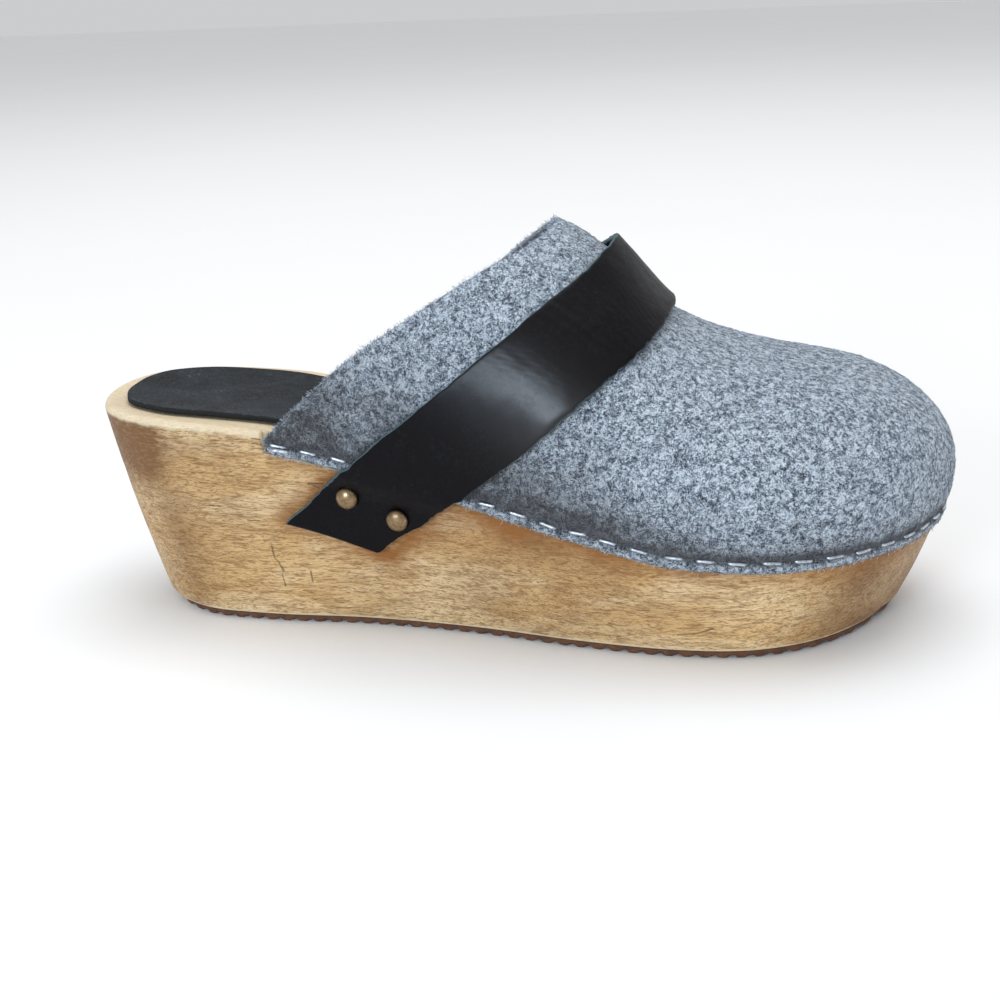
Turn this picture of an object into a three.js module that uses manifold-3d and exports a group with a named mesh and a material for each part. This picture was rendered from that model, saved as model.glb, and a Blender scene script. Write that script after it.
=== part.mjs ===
// A platform clog for the right foot: a carved wooden platform with a ribbed rubber outsole, a hollow wool-felt
// upper stapled round the platform's top edge, a leather strap nailed over the instep, and a leather insole.
// Millimetres: +X towards the toe, +Y towards the inner side of the foot, +Z up, with the floor at z = 0.
import * as THREE from "three";
import { mergeVertices } from "three/addons/utils/BufferGeometryUtils.js";
import Module from "manifold-3d";

const wasm = await Module();
wasm.setup();
const { lerp, clamp, smoothstep } = THREE.MathUtils;
const QUARTER_TURN = Math.PI / 2;
const WELD = 1e-3; // points closer than this are one

// Platform
const soleLength = 250; // along its top edge
const heelWidth = 66;
const ballWidth = 93;
const heelWidthEnd = 0.15; // of the sole's length, where the width starts to grow
const ballWidthStart = 0.75; // and where it has grown to the ball's
const heelHeight = 65; // floor to top edge at the back of the heel
const ballHeight = 34.5; // floor to top edge under the ball
const ballAlong = 0.7; // of the sole's length, where the toe spring starts
const toeRise = 1; // top edge at the toe tip, above the ball's
const toeRiseAlong = 0.8; // where that rise starts
const toeSpring = 1.6; // how far the underside lifts off the floor at the toe tip
const heelRake = 13; // how far the underside stops short of the top edge, at the back
const toeRake = 11.5;
const sideRake = 5.5;
const rakeSpread = heelWidth / 4; // the sides' rake is full this far from the middle line
const sideBelly = 0.9; // how far the raked sides bow outwards
const edgeRound = 2.2; // radius of the top edge
const footRound = 1.2; // radius of the bottom edge
const heelFootRound = 3; // and at the back of the heel
const footbedDish = 1.6; // hollow of the footbed along its middle
const heelSpineInset = 30; // from the back of the heel to the first point of the middle line
const toeSpineInset = 44; // from the toe tip to the last point of the middle line

// Outsole
const outsoleThickness = 2.4; // with its ribs
const ribPitch = 5;
const ribDepth = 0.8;
const ribCrest = 2.6; // flat width of a rib
const ribFlank = 0.7; // length of the slope on each side of a rib

// Upper
const feltThickness = 3.4;
const bandDepth = 6; // how far the felt reaches down the wood, below the top edge
const stapleDepth = 3; // the row of staples, below the top edge
const stapleSqueeze = 1.1; // how deep the staples pull the felt in
const stapleReach = 1; // and how far above and below them
const squeezeAbove = 0.8; // share of that squeeze left at the felt's first bend above the staples
const bandEdgeHeight = 0.9; // of the rounding of the band's lower edge
const bandEdgeRound = 0.5;
const rebateDepth = 1.9; // the ledge cut in the wood to take the felt
const rebateOverrun = 1.2; // how far the ledge runs on past the felt's rear corners
const bulge = 1.8; // how far the felt swells out over the staples
const collarHeight = 114.5; // floor to the collar at the instep's ridge
const toeBoxHeight = 73.8; // floor to the felt over the toes
const ridgeShift = 5; // the instep's ridge lies this far to the inner side

// Strap
const strapThickness = 2.4;
const strapEndDepth = 26.8; // where the strap ends, below the wood's top edge
const strapLift = 2.6; // how far its rear edge stands off the felt at the ridge
const strapLiftStart = 0.7; // the climb where it starts to stand off

// Nails of the strap
const nailHeadRadius = 3.3;
const nailHeadHeight = 1.9;
const nailShankRadius = 0.9;
const nailShankInWood = 8;
const nailRows = [
  { name: "rear", along: 0.325, depth: 13 },
  { name: "front", along: 0.383, depth: 15.8 },
];

// Insole
const insoleThickness = 1.5;
const insoleHeelInset = 7; // from the wood's top edge, at the back
const insoleInset = 10; // and from the arch forwards
const insoleBevelStart = 0.6; // of its thickness, where its edge starts to bevel
const insoleBevelReach = 0.985; // of its reach, where the bevel ends

const gap = 0.3; // between pieces that touch

// Outline of the wood's top edge on its outer (lateral) and inner (medial) side, as shares of the half width there
const outlineRows = [
  { along: 0.022, lateral: 0.62, medial: 0.585 },
  { along: 0.08, lateral: 0.925, medial: 0.885 },
  { along: 0.18, lateral: 1.03, medial: 0.98 },
  { along: 0.32, lateral: 0.968, medial: 0.877 },
  { along: 0.46, lateral: 0.95, medial: 0.81 },
  { along: 0.6, lateral: 1.005, medial: 0.856 },
  { along: 0.72, lateral: 1.034, medial: 0.972 },
  { along: 0.82, lateral: 0.996, medial: 0.983 },
  { along: 0.904, lateral: 0.796, medial: 0.877 },
  { along: 0.968, lateral: 0.426, medial: 0.602 },
];
const toeTipAcross = 0.086; // of the ball's half width, towards the inner side

// Height of the top edge, from the ball's height (0) to the heel's (1)
const edgeRows = [
  { along: 0, rise: 1 },
  { along: 0.2, rise: 0.911 },
  { along: 0.4, rise: 0.584 },
  { along: 0.6, rise: 0.2 },
  { along: 0.72, rise: 0.02 },
  { along: 0.8, rise: 0 },
  { along: 1, rise: 0 },
];

// The upper's ridge line: roof is its height from the toe box's (0) to the collar's (1), and fullness the exponent
// of the arch across the foot there, where 2 is an ellipse and more is squarer
const ridgeRows = [
  { along: 0.24, roof: 1.62, fullness: 2.05 },
  { along: 0.4, roof: 1.33, fullness: 2.0 },
  { along: 0.556, roof: 1.0, fullness: 1.95 },
  { along: 0.624, roof: 0.72, fullness: 1.95 },
  { along: 0.692, roof: 0.33, fullness: 2.05 },
  { along: 0.76, roof: 0.15, fullness: 2.2 },
  { along: 0.84, roof: 0.04, fullness: 2.3 },
  { along: 0.92, roof: 0, fullness: 2.35 },
  { along: 1, roof: -0.05, fullness: 2.35 },
];

// Where the collar's cut edge lies on each side, from the staples (around 0) to the ridge (around 1)
const collarRows = [
  { around: 0, lateral: 0.236, medial: 0.27 },
  { around: 0.06, lateral: 0.259, medial: 0.293 },
  { around: 0.12, lateral: 0.284, medial: 0.318 },
  { around: 0.26, lateral: 0.339, medial: 0.37 },
  { around: 0.4, lateral: 0.402, medial: 0.428 },
  { around: 0.55, lateral: 0.464, medial: 0.482 },
  { around: 0.75, lateral: 0.532, medial: 0.538 },
  { around: 0.88, lateral: 0.552, medial: 0.553 },
  { around: 1, lateral: 0.557, medial: 0.557 },
];
const collarCorner = 3.5; // radius of the collar's rear corners at the band

// The strap's rear and front edges, from its end on the wood (climb 0) over the band (0.29) to the ridge (1)
const strapRows = [
  { climb: 0, rear: 0.24, front: 0.366 },
  { climb: 0.09, rear: 0.292, front: 0.42 },
  { climb: 0.29, rear: 0.33, front: 0.468 },
  { climb: 0.36, rear: 0.37, front: 0.502 },
  { climb: 0.44, rear: 0.422, front: 0.545 },
  { climb: 0.53, rear: 0.474, front: 0.588 },
  { climb: 0.63, rear: 0.524, front: 0.63 },
  { climb: 0.7, rear: 0.562, front: 0.654 },
  { climb: 0.8, rear: 0.594, front: 0.674 },
  { climb: 1, rear: 0.616, front: 0.687 },
];

// Where the strap steps down from the felt band to the wood: its depth below the band and its height over the
// wood, both as shares of the band's own height over the wood
const strapStepRows = [
  { below: 3, over: 0.05 },
  { below: 1.5, over: 0.5 },
  { below: 0, over: 1 },
];

// Mesh densities
const OUTLINE_SAMPLES = 720;
const SIDE_STATIONS = 20;
const HEEL_FAN = 14;
const TOE_FAN = 18;
const ARCH_ROWS = 11;
const STRAP_STEPS = 44;
const STRAP_LANES = 5;
const NAIL_SIDES = 16;
const DOME_STEPS = 4;
const ROUNDING_STEPS = 3;
const UNDERSIDE_REACHES = [0, 0.5];
const SIDE_SHARES = [0.7, 0.4];
const FOOTBED_REACHES = [0.8, 0.5, 0];
const OUTSOLE_END_CUT = 0.4; // from each end of the outsole to its next station

// A smooth curve through two columns of a table, which never overshoots a row (monotone cubic).
function smoothColumn(rows, from, to) {
  const x = rows.map((row) => row[from]);
  const y = rows.map((row) => row[to]);
  const secant = x.slice(1).map((_, i) => (y[i + 1] - y[i]) / (x[i + 1] - x[i]));
  const slope = x.map((_, i) => {
    if (i === 0) return secant[0];
    if (i === x.length - 1) return secant[i - 1];
    const product = secant[i - 1] * secant[i];
    return product > 0 ? (2 * product) / (secant[i - 1] + secant[i]) : 0;
  });
  return (at) => {
    const t = clamp(at, x[0], x[x.length - 1]);
    const i = x.slice(1, -1).filter((knot) => knot <= t).length;
    const span = x[i + 1] - x[i];
    const s = (t - x[i]) / span;
    const rest = 1 - s;
    const start = y[i] * (1 + 2 * s) + slope[i] * span * s;
    const end = y[i + 1] * (3 - 2 * s) - slope[i + 1] * span * rest;
    return start * rest * rest + end * s * s;
  };
}

// Outline and middle line of the platform

function halfWidth(along) {
  return lerp(heelWidth, ballWidth, smoothstep(along, heelWidthEnd, ballWidthStart)) / 2;
}

function outlineCurve() {
  const side = (along, across) => new THREE.Vector3(along * soleLength, across * halfWidth(along), 0);
  const points = [
    side(0, 0),
    ...outlineRows.map((row) => side(row.along, -row.lateral)),
    side(1, toeTipAcross),
    ...[...outlineRows].reverse().map((row) => side(row.along, row.medial)),
  ];
  return new THREE.CatmullRomCurve3(points, true, "centripetal");
}
const outline = outlineCurve().getSpacedPoints(OUTLINE_SAMPLES);

const heelSpine = new THREE.Vector2(heelSpineInset, 0);
const toeSpine = new THREE.Vector2(soleLength - toeSpineInset, ridgeShift);

// The middle line, which moves over to the instep's ridge by the middle of the shoe.
function spineAt(x) {
  const share = smoothstep(x, heelSpine.x, (heelSpine.x + toeSpine.x) / 2);
  return new THREE.Vector2(x, lerp(heelSpine.y, toeSpine.y, share));
}

// A column: where a ray from a point of the middle line crosses the outline, with the outward normal there.
function columnFrom(spine, direction) {
  for (let i = 0; i + 1 < outline.length; i++) {
    const a = new THREE.Vector2(outline[i].x, outline[i].y).sub(spine);
    const b = new THREE.Vector2(outline[i + 1].x, outline[i + 1].y).sub(spine);
    const before = direction.cross(a);
    const after = direction.cross(b);
    if (before > 0 || after <= 0 || direction.dot(a) <= 0) continue;
    const run = b.clone().sub(a).normalize();
    const edge = a.lerp(b, before / (before - after)).add(spine);
    return { spine, edge, out: new THREE.Vector2(run.y, -run.x) };
  }
  throw new Error("the outline doesn't surround its middle line");
}

const lateralAt = (x) => columnFrom(spineAt(x), new THREE.Vector2(0, -1));
const medialAt = (x) => columnFrom(spineAt(x), new THREE.Vector2(0, 1));

// Columns spread over a half turn round one end of the middle line.
function fan(spine, firstAngle, count) {
  return Array.from({ length: count - 1 }, (_, i) => {
    const angle = firstAngle + (Math.PI * (i + 1)) / count;
    return columnFrom(spine, new THREE.Vector2(Math.cos(angle), Math.sin(angle)));
  });
}

function evenly(from, to, count) {
  return Array.from({ length: count + 1 }, (_, i) => lerp(from, to, i / count));
}

// Columns from the outer side round the toe to the inner side.
function columnsRoundToe(lateralStart, medialStart) {
  return [
    ...evenly(lateralStart, toeSpine.x, SIDE_STATIONS).map(lateralAt),
    ...fan(toeSpine, -QUARTER_TURN, TOE_FAN),
    ...evenly(medialStart, toeSpine.x, SIDE_STATIONS).reverse().map(medialAt),
  ];
}

const platformColumns = [
  ...fan(heelSpine, QUARTER_TURN, HEEL_FAN),
  ...columnsRoundToe(heelSpine.x, heelSpine.x),
];

// Surfaces of the platform

const edgeRise = smoothColumn(edgeRows, "along", "rise");

function edgeHeight(x) {
  const along = x / soleLength;
  return lerp(ballHeight, heelHeight, edgeRise(along)) + toeRise * smoothstep(along, toeRiseAlong, 1);
}

// Floor to the outsole's ribs: flat from the heel to the ball, then up to the toe.
function springHeight(x) {
  const ball = ballAlong * soleLength;
  const share = Math.max(0, x - ball) / (soleLength - toeRake - ball);
  return toeSpring * share * share;
}

// A point of the raked side: share 0 is the top edge and 1 the underside of the wood.
function sidePoint({ edge, out }, share, outwards = 0) {
  const footX = heelRake + (edge.x / soleLength) * (soleLength - heelRake - toeRake);
  const inwards = sideRake * clamp(edge.y / rakeSpread, -1, 1);
  const bow = sideBelly * Math.sin(Math.PI * share) + outwards;
  return new THREE.Vector3(
    lerp(edge.x, footX, share) + out.x * bow,
    edge.y - inwards * share + out.y * bow,
    lerp(edgeHeight(edge.x), springHeight(footX) + outsoleThickness, share),
  );
}

// A point of the side at a depth below the top edge.
function sideAtDepth(column, depth, outwards = 0) {
  const height = edgeHeight(column.edge.x) - sidePoint(column, 1).z;
  return sidePoint(column, depth / height, outwards);
}

// A point of the footbed: reach 1 is the inner end of the rounded edge and 0 the middle line.
function footbedPoint({ edge, out, spine }, reach) {
  const rim = edge.clone().addScaledVector(out, -edgeRound);
  const at = spine.clone().lerp(rim, reach);
  return new THREE.Vector3(at.x, at.y, edgeHeight(at.x) - footbedDish * (1 - reach * reach));
}

// A point of the wood's underside: reach 1 is the inner end of the rounded bottom edge and 0 the middle line.
function undersidePoint(column, reach) {
  const foot = sidePoint(column, 1);
  const middle = sidePoint({ ...column, edge: column.spine }, 1);
  const rounding = footRoundAt(column.edge.x);
  const rim = foot.clone().lerp(middle, rounding / foot.distanceTo(middle));
  const at = middle.lerp(rim, reach);
  return at.setZ(springHeight(at.x) + outsoleThickness);
}

function footRoundAt(x) {
  return lerp(heelFootRound, footRound, smoothstep(x, 0, heelSpineInset));
}

// Points that round a corner off, from one point to another.
function rounded(from, corner, to) {
  const curve = new THREE.QuadraticBezierCurve3(from, corner, to);
  return curve.getPoints(ROUNDING_STEPS);
}

// Meshes and solids

function geometryFrom(positions, index) {
  const geometry = new THREE.BufferGeometry();
  geometry.setAttribute("position", new THREE.Float32BufferAttribute(positions, 3));
  geometry.setIndex(index);
  return geometry;
}

// Welds points that coincide, and drops the triangles that this flattens.
function welded(geometry) {
  const merged = mergeVertices(geometry, WELD);
  const corners = merged.index.array;
  const kept = [];
  for (let i = 0; i < corners.length; i += 3) {
    const [a, b, c] = corners.slice(i, i + 3);
    if (a !== b && b !== c && c !== a) kept.push(a, b, c);
  }
  merged.setIndex(kept);
  return merged;
}

// The faces between rows of as many points each. A wrapped row closes on itself.
function gridFaces(rowCount, width, wrap) {
  const index = [];
  for (let r = 0; r + 1 < rowCount; r++)
    for (let c = 0; c < (wrap ? width : width - 1); c++) {
      const next = (c + 1) % width;
      const [a, b] = [r * width + c, r * width + next];
      index.push(a, b, b + width, a, b + width, a + width);
    }
  return index;
}

function surfaceFrom(rows, wrap = false) {
  const positions = rows.flat().flatMap((p) => [p.x, p.y, p.z]);
  return geometryFrom(positions, gridFaces(rows.length, rows[0].length, wrap));
}

// A closed wall between two offsets, near and far, of an open surface. Rows hold { at, near, far }, with the
// offsets taken along the surface's own normals.
function wallFrom(rows) {
  const cells = rows.flat();
  const surface = surfaceFrom(rows.map((row) => row.map((cell) => cell.at)));
  surface.setAttribute("near", new THREE.Float32BufferAttribute(cells.map((cell) => cell.near), 1));
  surface.setAttribute("far", new THREE.Float32BufferAttribute(cells.map((cell) => cell.far), 1));
  const base = welded(surface);
  base.computeVertexNormals();
  const { position, normal, near, far } = base.attributes;
  const count = position.count;
  const positions = [];
  for (const offset of [far, near])
    for (let i = 0; i < count; i++)
      for (const axis of ["getX", "getY", "getZ"])
        positions.push(position[axis](i) + normal[axis](i) * offset.getX(i));
  const corners = base.index.array;
  const index = [];
  const edges = new Set();
  for (let i = 0; i < corners.length; i += 3) {
    const [a, b, c] = corners.slice(i, i + 3);
    index.push(a, b, c, a + count, c + count, b + count);
    edges.add(`${a} ${b}`).add(`${b} ${c}`).add(`${c} ${a}`);
  }
  for (const edge of edges) {
    const [from, to] = edge.split(" ").map(Number);
    if (edges.has(`${to} ${from}`)) continue;
    index.push(to, from, from + count, to, from + count, to + count);
  }
  return geometryFrom(positions, index);
}

function manifoldOf(geometry) {
  const merged = welded(geometry);
  return new wasm.Manifold(
    new wasm.Mesh({
      numProp: 3,
      vertProperties: new Float32Array(merged.attributes.position.array),
      triVerts: new Uint32Array(merged.index.array),
    }),
  );
}

function cutFrom(geometry, cutters) {
  const solid = cutters.reduce((left, cutter) => left.subtract(manifoldOf(cutter)), manifoldOf(geometry));
  const { vertProperties, triVerts } = solid.getMesh();
  return geometryFrom([...vertProperties], [...triVerts]);
}

function nodeOf(name, geometry, color, roughness, metalness = 0) {
  const bare = geometry.clone();
  bare.deleteAttribute("normal");
  bare.deleteAttribute("uv");
  const mesh = new THREE.Mesh(welded(bare), new THREE.MeshStandardMaterial({ color, roughness, metalness }));
  mesh.name = name;
  return mesh;
}

// Nails

function nailFrame(row, side) {
  const column = (side === "lateral" ? lateralAt : medialAt)(row.along * soleLength);
  const at = sideAtDepth(column, row.depth);
  const up = sideAtDepth(column, row.depth - 1).sub(at).normalize();
  const sideways = new THREE.Vector3(-column.out.y, column.out.x, 0);
  const outwards = sideways.cross(up).normalize();
  const turn = new THREE.Quaternion().setFromUnitVectors(new THREE.Vector3(0, 1, 0), outwards);
  return new THREE.Matrix4().compose(at, turn, new THREE.Vector3(1, 1, 1));
}

const allNails = ["lateral", "medial"].flatMap((side) =>
  nailRows.map((row) => ({ name: `strap_nail_${side}_${row.name}`, frame: nailFrame(row, side) })),
);

// A turned solid about Y, from radius and height pairs that start and end on the axis.
function turned(profile) {
  const points = profile.map(([radius, height]) => new THREE.Vector2(radius, height));
  const geometry = new THREE.LatheGeometry(points, NAIL_SIDES);
  geometry.deleteAttribute("normal");
  geometry.deleteAttribute("uv");
  return geometry;
}

function nail() {
  const seat = gap + strapThickness + gap;
  const dome = evenly(0, QUARTER_TURN, DOME_STEPS).map((turn) => [
    nailHeadRadius * Math.cos(turn),
    seat + nailHeadHeight * Math.sin(turn),
  ]);
  dome[dome.length - 1][0] = 0;
  return turned([
    [0, -nailShankInWood],
    [nailShankRadius, nailShankRadius - nailShankInWood],
    [nailShankRadius, seat],
    ...dome,
  ]);
}

// The hole for a nail, with the shallow dent that its head presses into the leather.
function nailHole() {
  const shank = nailShankRadius + gap;
  const head = nailHeadRadius + gap;
  const seat = gap + strapThickness;
  return turned([
    [0, -nailShankInWood - gap],
    [shank, -nailShankInWood - gap],
    [shank, seat],
    [head, seat],
    [head, 2 * seat],
    [0, 2 * seat],
  ]);
}

const nailHoles = allNails.map(({ frame }) => nailHole().applyMatrix4(frame));

// Wooden platform

const collarLateral = smoothColumn(collarRows, "around", "lateral");
const collarMedial = smoothColumn(collarRows, "around", "medial");

// The ledge cut round the wood's edge, which the felt band lies in. Its wall leans in towards the top, clear of
// the felt's first bend.
function rebateCutter() {
  const columns = columnsRoundToe(
    collarLateral(0) * soleLength - rebateOverrun,
    collarMedial(0) * soleLength - rebateOverrun,
  );
  const above = 2 * edgeRound;
  const beyond = 2 * rebateDepth;
  const row = (depth, outwards) => columns.map((column) => sideAtDepth(column, depth, outwards));
  const corners = [
    row(bandDepth + gap, -rebateDepth),
    row(bandDepth + gap, beyond),
    row(-above, beyond),
    row(-above, -rebateDepth - 2 * gap),
  ];
  const width = columns.length;
  const bar = surfaceFrom([...corners, corners[0]]);
  const [a, b, c, d] = corners.map((_, i) => i * width);
  const end = width - 1;
  bar.setIndex([...bar.index.array, a, b, c, a, c, d, a + end, c + end, b + end, a + end, d + end, c + end]);
  return bar;
}

function platform() {
  const profiles = platformColumns.map((column) => {
    const side = (share) => sidePoint(column, share);
    const height = edgeHeight(column.edge.x);
    const footStart = 1 - footRoundAt(column.edge.x) / height;
    return [
      ...UNDERSIDE_REACHES.map((reach) => undersidePoint(column, reach)),
      ...rounded(undersidePoint(column, 1), side(1), side(footStart)),
      ...SIDE_SHARES.map((share) => side(share)),
      ...rounded(sideAtDepth(column, edgeRound), side(0), footbedPoint(column, 1)),
      ...FOOTBED_REACHES.map((reach) => footbedPoint(column, reach)),
    ];
  });
  const rows = profiles[0].map((_, r) => profiles.map((profile) => profile[r]));
  return cutFrom(surfaceFrom(rows, true), [rebateCutter(), ...nailHoles]);
}

// Upper

const roofShare = smoothColumn(ridgeRows, "along", "roof");
const fullnessAt = smoothColumn(ridgeRows, "along", "fullness");
const bandStandOff = feltThickness + gap - rebateDepth; // of the band's outer face, from the wood's side

// A point of the felt's outer face: around 0 is just over the staples and 1 the ridge.
function archPoint(column, around) {
  const foot = sideAtDepth(column, stapleDepth - stapleReach, bandStandOff - stapleSqueeze * squeezeAbove);
  const footAt = new THREE.Vector2(foot.x, foot.y);
  const power = 2 / fullnessAt(column.edge.x / soleLength);
  const footReach = 1 / (1 + bulge / footAt.distanceTo(column.spine));
  const footAngle = Math.acos(Math.pow(footReach, 1 / power));
  const footDrop = Math.pow(Math.sin(footAngle), power);
  const angle = lerp(-footAngle, QUARTER_TURN, around);
  const reach = Math.pow(Math.abs(Math.cos(angle)), power) / footReach;
  const lift = Math.sign(angle) * Math.pow(Math.abs(Math.sin(angle)), power);
  const at = column.spine.clone().lerp(footAt, reach);
  const roof = lerp(toeBoxHeight, collarHeight, roofShare(at.x / soleLength));
  return new THREE.Vector3(at.x, at.y, lerp(foot.z, roof, (lift + footDrop) / (1 + footDrop)));
}

function upper() {
  const bandRows = [
    { depth: bandDepth, squeeze: bandEdgeRound, setBack: collarCorner },
    { depth: bandDepth - bandEdgeHeight, squeeze: 0, setBack: collarCorner / 5 },
    { depth: stapleDepth + stapleReach, squeeze: 0, setBack: 0 },
    { depth: stapleDepth, squeeze: stapleSqueeze, setBack: 0 },
  ];
  const start = (around, setBack) => [
    collarLateral(around) * soleLength + setBack,
    collarMedial(around) * soleLength + setBack,
  ];
  const band = bandRows.map(({ depth, squeeze, setBack }) =>
    columnsRoundToe(...start(0, setBack)).map((column) => ({
      at: sideAtDepth(column, depth, bandStandOff - squeeze),
      near: squeeze - feltThickness,
      far: 0,
    })),
  );
  const arch = evenly(0, 1, ARCH_ROWS).map((around, row) =>
    columnsRoundToe(...start(around, 0)).map((column) => ({
      at: archPoint(column, around),
      near: (row === 0 ? stapleSqueeze * squeezeAbove : 0) - feltThickness,
      far: 0,
    })),
  );
  return wallFrom([...band, ...arch]);
}

// Strap

// The path of the strap's inner face in the plane at x, over the wood and the felt, from the end to the ridge.
function strapKnots(column) {
  return [
    sideAtDepth(column, strapEndDepth),
    sideAtDepth(column, (strapEndDepth + bandDepth) / 2),
    ...strapStepRows.map(({ below, over }) =>
      sideAtDepth(column, bandDepth + below * bandStandOff, over * bandStandOff),
    ),
    sideAtDepth(column, stapleDepth, bandStandOff + stapleSqueeze / 4),
    ...evenly(0, 1, ARCH_ROWS).slice(1).map((around) => archPoint(column, around)),
  ];
}

function strapPath(x) {
  const lateral = strapKnots(lateralAt(x));
  const medial = strapKnots(medialAt(x)).reverse();
  return new THREE.CatmullRomCurve3([...lateral, ...medial.slice(1)], false, "centripetal");
}

function strap() {
  const beyondRidge = strapRows.slice(0, -1).map((row) => ({ ...row, climb: 2 - row.climb }));
  const wholeStrap = [...strapRows, ...beyondRidge.reverse()];
  const rear = smoothColumn(wholeStrap, "climb", "rear");
  const front = smoothColumn(wholeStrap, "climb", "front");
  const rows = evenly(0, 1, STRAP_STEPS).map((round) => {
    const climb = 1 - Math.abs(2 * round - 1);
    return evenly(0, 1, STRAP_LANES).map((lane) => {
      const x = lerp(rear(climb), front(climb), lane) * soleLength;
      const lift = strapLift * smoothstep(climb, strapLiftStart, 1) * (1 - lane) ** 2;
      const near = gap + lift;
      return { at: strapPath(x).getPoint(round), near, far: near + strapThickness };
    });
  });
  return cutFrom(wallFrom(rows), nailHoles);
}

// Insole

function insole() {
  const profiles = platformColumns.map((column) => {
    const inset = lerp(insoleHeelInset, insoleInset, smoothstep(column.edge.x, 0, soleLength / 3));
    const rim = column.edge.clone().addScaledVector(column.out, edgeRound - inset);
    const insetColumn = { ...column, edge: rim };
    const bed = (reach, height) => {
      const at = footbedPoint(insetColumn, reach);
      return at.setZ(at.z + gap + height);
    };
    return [
      bed(0, 0),
      bed(0.5, 0),
      bed(1, 0),
      bed(1, insoleThickness * insoleBevelStart),
      bed(insoleBevelReach, insoleThickness),
      bed(0.5, insoleThickness),
      bed(0, insoleThickness),
    ];
  });
  const rows = profiles[0].map((_, r) => profiles.map((profile) => profile[r]));
  return surfaceFrom(rows, true);
}

// Outsole

const outsoleRim = platformColumns.map((column) => undersidePoint(column, 1));
const outsoleStart = Math.min(...outsoleRim.map((point) => point.x));
const outsoleEnd = Math.max(...outsoleRim.map((point) => point.x));

// How far each point of the outsole's underside stands above its ribs.
function grooveDepth(x) {
  const phase = (((x - outsoleStart) % ribPitch) + ribPitch) % ribPitch;
  const fromCrest = Math.abs(phase - ribPitch / 2) - ribCrest / 2;
  return ribDepth * clamp(fromCrest / ribFlank, 0, 1);
}

// The outsole's two sides at x.
function outsoleSides(x) {
  const crossings = outsoleRim.flatMap((a, i) => {
    const b = outsoleRim[(i + 1) % outsoleRim.length];
    if ((a.x - x) * (b.x - x) > 0 || a.x === b.x) return [];
    return [lerp(a.y, b.y, (x - a.x) / (b.x - a.x))];
  });
  return [Math.min(...crossings), Math.max(...crossings)];
}

function outsole() {
  const ribCount = Math.ceil((outsoleEnd - outsoleStart) / ribPitch);
  const flanks = [-1, 1].flatMap((side) => [side * (ribCrest / 2), side * (ribCrest / 2 + ribFlank)]);
  const stations = [
    outsoleStart,
    outsoleStart + OUTSOLE_END_CUT,
    outsoleEnd - OUTSOLE_END_CUT,
    outsoleEnd,
  ];
  for (let rib = 0; rib < ribCount; rib++)
    stations.push(...flanks.map((flank) => outsoleStart + (rib + 0.5) * ribPitch + flank));
  const inside = stations.filter((x) => x >= outsoleStart && x <= outsoleEnd).sort((a, b) => a - b);
  const rings = inside.map((x) => {
    const [lateral, medial] = outsoleSides(x);
    const low = springHeight(x) + grooveDepth(x);
    const high = springHeight(x) + outsoleThickness - gap;
    return [
      new THREE.Vector3(x, lateral, low),
      new THREE.Vector3(x, medial, low),
      new THREE.Vector3(x, medial, high),
      new THREE.Vector3(x, lateral, high),
    ];
  });
  return surfaceFrom(rings, true);
}

const clog = new THREE.Group();
clog.add(
  nodeOf("wood_sole", platform(), 0xc49a62, 0.6),
  nodeOf("outsole", outsole(), 0x3a2a24, 0.85),
  nodeOf("felt_upper", upper(), 0x7f8893, 1),
  nodeOf("insole", insole(), 0x1c1c1e, 0.55),
  nodeOf("strap", strap(), 0x141518, 0.4),
  ...allNails.map(({ name, frame }) => {
    const mesh = nodeOf(name, nail(), 0x6b5a45, 0.35, 1);
    mesh.applyMatrix4(frame);
    return mesh;
  }),
);

// The origin is the middle of the shoe's box, on the floor.
const box = new THREE.Box3().setFromObject(clog);
const middle = box.getCenter(new THREE.Vector3());
clog.position.set(-middle.x, -middle.y, -box.min.z);

export default clog;
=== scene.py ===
"""Platform clog for the right foot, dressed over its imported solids.

Shapes are worked out in millimetres in the shoe's own frame: x runs from the back of the heel's top edge
to the toe, y to the inner (medial) side of the foot and z up from the floor. They go into Blender in
metres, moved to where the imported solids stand.
"""

import logging
from dataclasses import dataclass, field
from enum import Enum
from functools import cached_property, reduce
from typing import Callable, Mapping, Sequence

import bpy
import numpy as np
from mathutils import Matrix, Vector
from numpy.typing import NDArray


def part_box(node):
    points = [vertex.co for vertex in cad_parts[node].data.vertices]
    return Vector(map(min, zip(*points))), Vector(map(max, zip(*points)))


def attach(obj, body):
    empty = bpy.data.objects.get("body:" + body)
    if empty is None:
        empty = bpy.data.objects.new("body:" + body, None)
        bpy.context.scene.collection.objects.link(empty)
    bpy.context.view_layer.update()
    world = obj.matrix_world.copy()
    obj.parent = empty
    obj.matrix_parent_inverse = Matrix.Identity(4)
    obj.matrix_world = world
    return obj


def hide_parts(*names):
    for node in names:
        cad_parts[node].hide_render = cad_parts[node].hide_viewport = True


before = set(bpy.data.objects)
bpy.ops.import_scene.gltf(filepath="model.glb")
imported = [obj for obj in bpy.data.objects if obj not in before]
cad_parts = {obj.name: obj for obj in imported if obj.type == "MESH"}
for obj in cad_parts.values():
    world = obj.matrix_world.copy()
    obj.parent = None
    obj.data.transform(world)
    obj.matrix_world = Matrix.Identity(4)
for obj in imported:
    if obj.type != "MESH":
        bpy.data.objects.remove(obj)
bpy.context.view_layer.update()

LOG = logging.getLogger("platform_clog")
FloatArray = NDArray[np.float64]
IntArray = NDArray[np.int64]
Curve = Callable[[FloatArray], FloatArray]
Socket = bpy.types.NodeSocket
Sockets = bpy.types.NodeOutputs
Value = bpy.types.NodeSocket | float
Triple = tuple[float, float, float]
Colour = tuple[float, float, float, float]

MM = 0.001
WELD = 1e-4  # millimetres: points closer than this are one
QUARTER_TURN = np.pi / 2


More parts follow.
